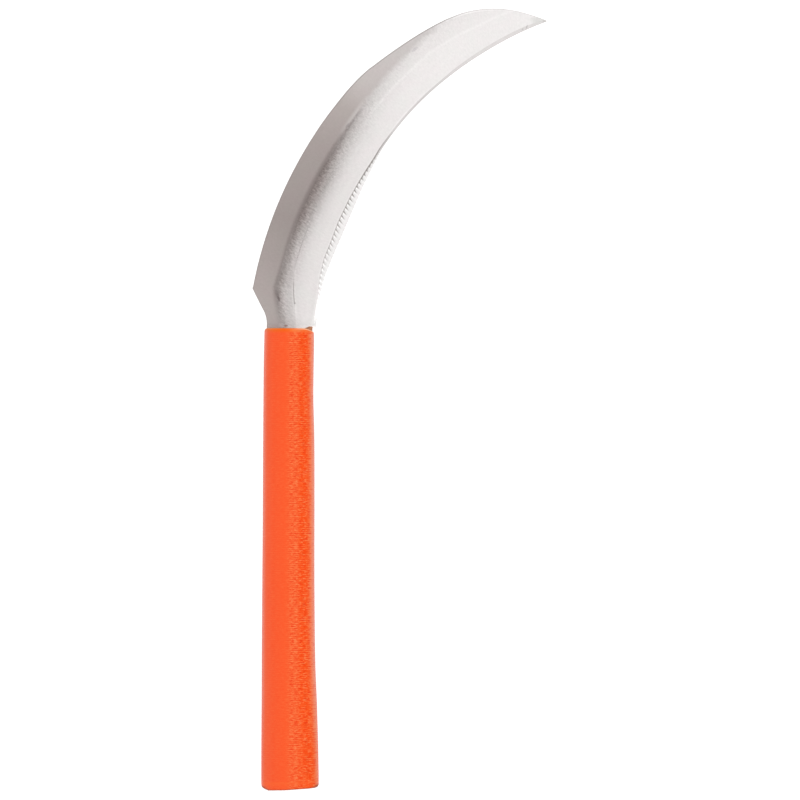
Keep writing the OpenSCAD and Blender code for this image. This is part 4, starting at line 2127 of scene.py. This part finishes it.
@dataclass(frozen=True)
class WoodHalf:
    """One wooden half of the grip, on one face of the tang."""

    mouth: Mouth
    grip: Grip
    holes: PinHoles
    face: Face
    inset: float = 0.75
    glue: float = 0.8
    set_back: float = 0.8
    peek: float = 1.0
    proud: Point = (7.5, 8.8)
    ragged: float = 0.12
    corner_out: float = 0.25
    corner: Point = (7.0, 9.5)
    end_gap: float = 1.6
    round_steps: int = 8
    flat_steps: int = 10
    glued_steps: int = 14
    front_rings: tuple[Point, ...] = ((0.02, 0.0), (0.5, 0.0), (0.94, 0.0), (0.985, 0.08), (1.0, 0.3))
    rear_rings: tuple[Point, ...] = ((1.0, 0.9), (0.97, 0.3), (0.9, 0.0), (0.5, 0.0), (0.02, 0.0))
    places: tuple[float, ...] = (
        -2.5, -6.0, -20.0, -40.0, -60.0, -80.0, -100.0, -121.0, -140.0, -160.0, -180.0, -192.0,
    )
    sharp: float = 35.0

    def front_end(self, x: float) -> float:
        """Finds where the front end is along the grip, with the front half's one proud corner.

        Args:
            x: Place across the grip.

        Returns:
            The place along it.
        """
        proud = ease(x, *self.proud) if self.face is Face.FRONT else 0.0
        ragged = self.ragged * noise.noise(Vector((x * 1.1, 0.0, 4.0 * self.face.value)))
        return blend(-self.set_back, self.peek, proud) + ragged

    def ring(self, y: float) -> list[Point]:
        """Lays out the half's section.

        Args:
            y: Place along the grip.

        Returns:
            Points round it, as X and Z.
        """
        left, right = self.grip.sides(y)
        r = self.grip.corner - self.inset
        low, high = left + self.grip.corner, right - self.grip.corner
        lift = self.grip.half_t - self.grip.corner
        over = [math.radians(a) for a in spread(180, 90, self.round_steps)]
        points = [(low + r * math.cos(a), lift + r * math.sin(a)) for a in over]
        points += [(x, lift + r) for x in spread(low, high, self.flat_steps)[1:-1]]
        points += [(high - r * math.cos(a), lift + r * math.sin(a)) for a in reversed(over)]
        points += [(x, self.glue) for x in spread(high + r, low - r, self.glued_steps)]
        return [(x, z * self.face.value) for x, z in points]

    def end_ring(self, shell: Shell, share: float, back: float, front: bool) -> list[int]:
        """Adds a ring of an end face.

        Args:
            shell: The mesh.
            share: How much of the section's size the ring has.
            back: How far it is set back from the end.
            front: Whether it is at the mouth's end.

        Returns:
            The ring's vertices.
        """
        outline = self.ring(0.0 if front else -self.grip.length)
        x_mid = sum(x for x, _ in outline) / len(outline)
        z_mid = sum(z for _, z in outline) / len(outline)
        made = []
        for x, z in outline:
            drawn = x_mid + (x - x_mid) * share
            if front and self.face is Face.FRONT:
                drawn += self.corner_out * ease(drawn, *self.corner)
            rear = self.end_gap - self.grip.length + self.grip.tilt(drawn) + back
            y = self.front_end(drawn) - back if front else rear
            made.append(shell.add((drawn, y, z_mid + (z - z_mid) * share)))
        return made

    def build(self, finish: bpy.types.Material) -> bpy.types.Object:
        """Builds the half.

        Args:
            finish: The wood's material.

        Returns:
            The piece, riding on the body.
        """
        shell = Shell()
        rings = [self.end_ring(shell, *sizes, front=True) for sizes in self.front_rings]
        rings += [[shell.add((x, y, z)) for x, z in self.ring(y)] for y in self.places]
        rings += [self.end_ring(shell, *sizes, front=False) for sizes in self.rear_rings]
        shell.skin(rings)
        piece = shell.finish("wood_" + self.face.name.lower(), self.mouth, self.sharp)
        self.holes.drill(piece)
        piece.data.materials.append(finish)
        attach(piece, BODY)
        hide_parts("scale_" + self.face.name.lower())
        return piece


@dataclass(frozen=True)
class Pins:
    """The three pins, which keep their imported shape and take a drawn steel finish."""

    nodes: tuple[str, ...] = ("pin_front", "pin_middle", "pin_rear")

    def dress(self, finish: bpy.types.Material) -> None:
        """Gives each pin its material.

        Args:
            finish: The pins' material.
        """
        for name in self.nodes:
            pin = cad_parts[name]
            pin.data.materials.clear()
            pin.data.materials.append(finish)
            LOG.info("%s is dressed in %s", name, finish.name)


@dataclass(frozen=True)
class Lamp:
    """A square soft panel: where it hangs and how wide it is, in metres, and its power in watts."""

    name: str
    place: Place
    size: float
    power: float


@dataclass(frozen=True)
class Studio:
    """Pale floor, soft light and the camera straight above the blade's front face."""

    mouth: Mouth
    middle: Point = (48.38, -31.13)
    width: float = 350.0
    lens: float = 250.0
    sensor: float = 36.0
    floor_size: float = 6.0
    floor_gap: float = 0.05
    world_light: float = 0.74
    floor_colour: Colour = (0.62, 0.62, 0.62)
    floor_glow: float = 0.74
    white: Colour = (1.0, 1.0, 1.0)
    lamps: tuple[Lamp, ...] = (
        Lamp("key_panel", (1.5, 0.9, 1.6), 2.2, 13.0),
        Lamp("fill_panel", (-1.7, -0.6, 1.4), 2.0, 12.5),
    )

    def build(self) -> None:
        """Builds everything round the object."""
        self.build_camera()
        self.build_floor()
        self.build_world()
        for lamp in self.lamps:
            self.hang(lamp)

    def build_camera(self) -> None:
        """Hangs the camera so that the sheet's middle fills the frame as photographed."""
        data = bpy.data.cameras.new("camera")
        data.lens = self.lens
        data.sensor_width = self.sensor
        camera = linked("camera", data)
        camera.location = self.mouth.place((*self.middle, self.width * self.lens / self.sensor))
        bpy.context.scene.camera = camera

    def build_floor(self) -> None:
        """Lays the floor just under the object."""
        low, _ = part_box("grip_sleeve")
        half, z = self.floor_size / 2, low.z - self.floor_gap * MM
        mesh = bpy.data.meshes.new("floor")
        corners = [(-half, -half, z), (half, -half, z), (half, half, z), (-half, half, z)]
        mesh.from_pydata(corners, [], [(0, 1, 2, 3)])
        floor = linked("floor", mesh)
        floor.data.materials.append(self.floor_material())

    def seen(self, graph: Graph) -> Socket:
        """Tells the rays that show a surface from those that only light by it.

        Args:
            graph: The graph of the floor or the world.

        Returns:
            1 for rays from the camera, from a reflection or through glass.
        """
        path = graph.node("LightPath").outputs
        mirrored = graph.math("MAXIMUM", path["Is Glossy Ray"], path["Is Transmission Ray"])
        return graph.math("MAXIMUM", path["Is Camera Ray"], mirrored)

    def floor_material(self) -> bpy.types.Material:
        """Pale and matt, a little lifted where it is seen, so that it keeps only soft shadows.

        Returns:
            The material.
        """
        made = bpy.data.materials.new("studio_floor")
        made.use_nodes = True
        graph = Graph(made.node_tree)
        matt = graph.feed(graph.node("BsdfDiffuse"), self.floor_colour)
        glow = graph.node("Emission")
        graph.put(glow.inputs["Strength"], graph.times(self.seen(graph), self.floor_glow))
        both = graph.feed(graph.node("AddShader"), matt.outputs[0], glow.outputs[0])
        graph.feed(graph.node("OutputMaterial"), both.outputs[0])
        return made

    def build_world(self) -> None:
        """A white room that is seen at full white and lights at a plain level."""
        world = bpy.data.worlds.new("studio")
        world.use_nodes = True
        bpy.context.scene.world = world
        graph = Graph(world.node_tree)
        strength = graph.scaled(self.seen(graph), 1.0 - self.world_light, self.world_light)
        sky = graph.feed(graph.node("Background"), self.white, strength)
        graph.feed(graph.node("OutputWorld"), sky.outputs[0])

    def hang(self, lamp: Lamp) -> None:
        """Hangs a panel that faces the object.

        Args:
            lamp: The panel.
        """
        data = bpy.data.lights.new(lamp.name, "AREA")
        data.shape = "SQUARE"
        data.size = lamp.size
        data.energy = lamp.power
        panel = linked(lamp.name, data)
        panel.location = self.mouth.origin + Vector(lamp.place)
        aim = self.mouth.origin - panel.location
        panel.rotation_mode = "QUATERNION"
        panel.rotation_quaternion = aim.to_track_quat("-Z", "Y")


def set_colours() -> None:
    """Shows colours as they are written."""
    bpy.context.scene.view_settings.view_transform = "Standard"


def main() -> None:
    """Builds every piece in order and reports each."""
    logging.basicConfig(level=logging.INFO, format="%(name)s: %(message)s")
    set_colours()
    mouth = Mouth.of("grip_sleeve")
    Studio(mouth).build()
    shared = SharedEffects.build()
    grip = Grip()
    holes = PinHoles(mouth)
    steel = GroundSteel("ground_steel", shared, mouth).build()
    wood = SawnWood("sawn_hardwood", shared, mouth).build()
    vinyl = RibbedVinyl("ribbed_vinyl", shared, mouth).build()
    pieces = [
        Blade(mouth, holes).build(steel),
        WoodHalf(mouth, grip, holes, Face.FRONT).build(wood),
        WoodHalf(mouth, grip, holes, Face.BACK).build(wood),
        Sleeve(mouth, grip).build(vinyl),
    ]
    for piece in pieces:
        LOG.info("%s has %d faces", piece.name, len(piece.data.polygons))
    Pins().dress(PinSteel("pin_steel", shared, mouth).build())


if __name__ == "__main__":
    main()
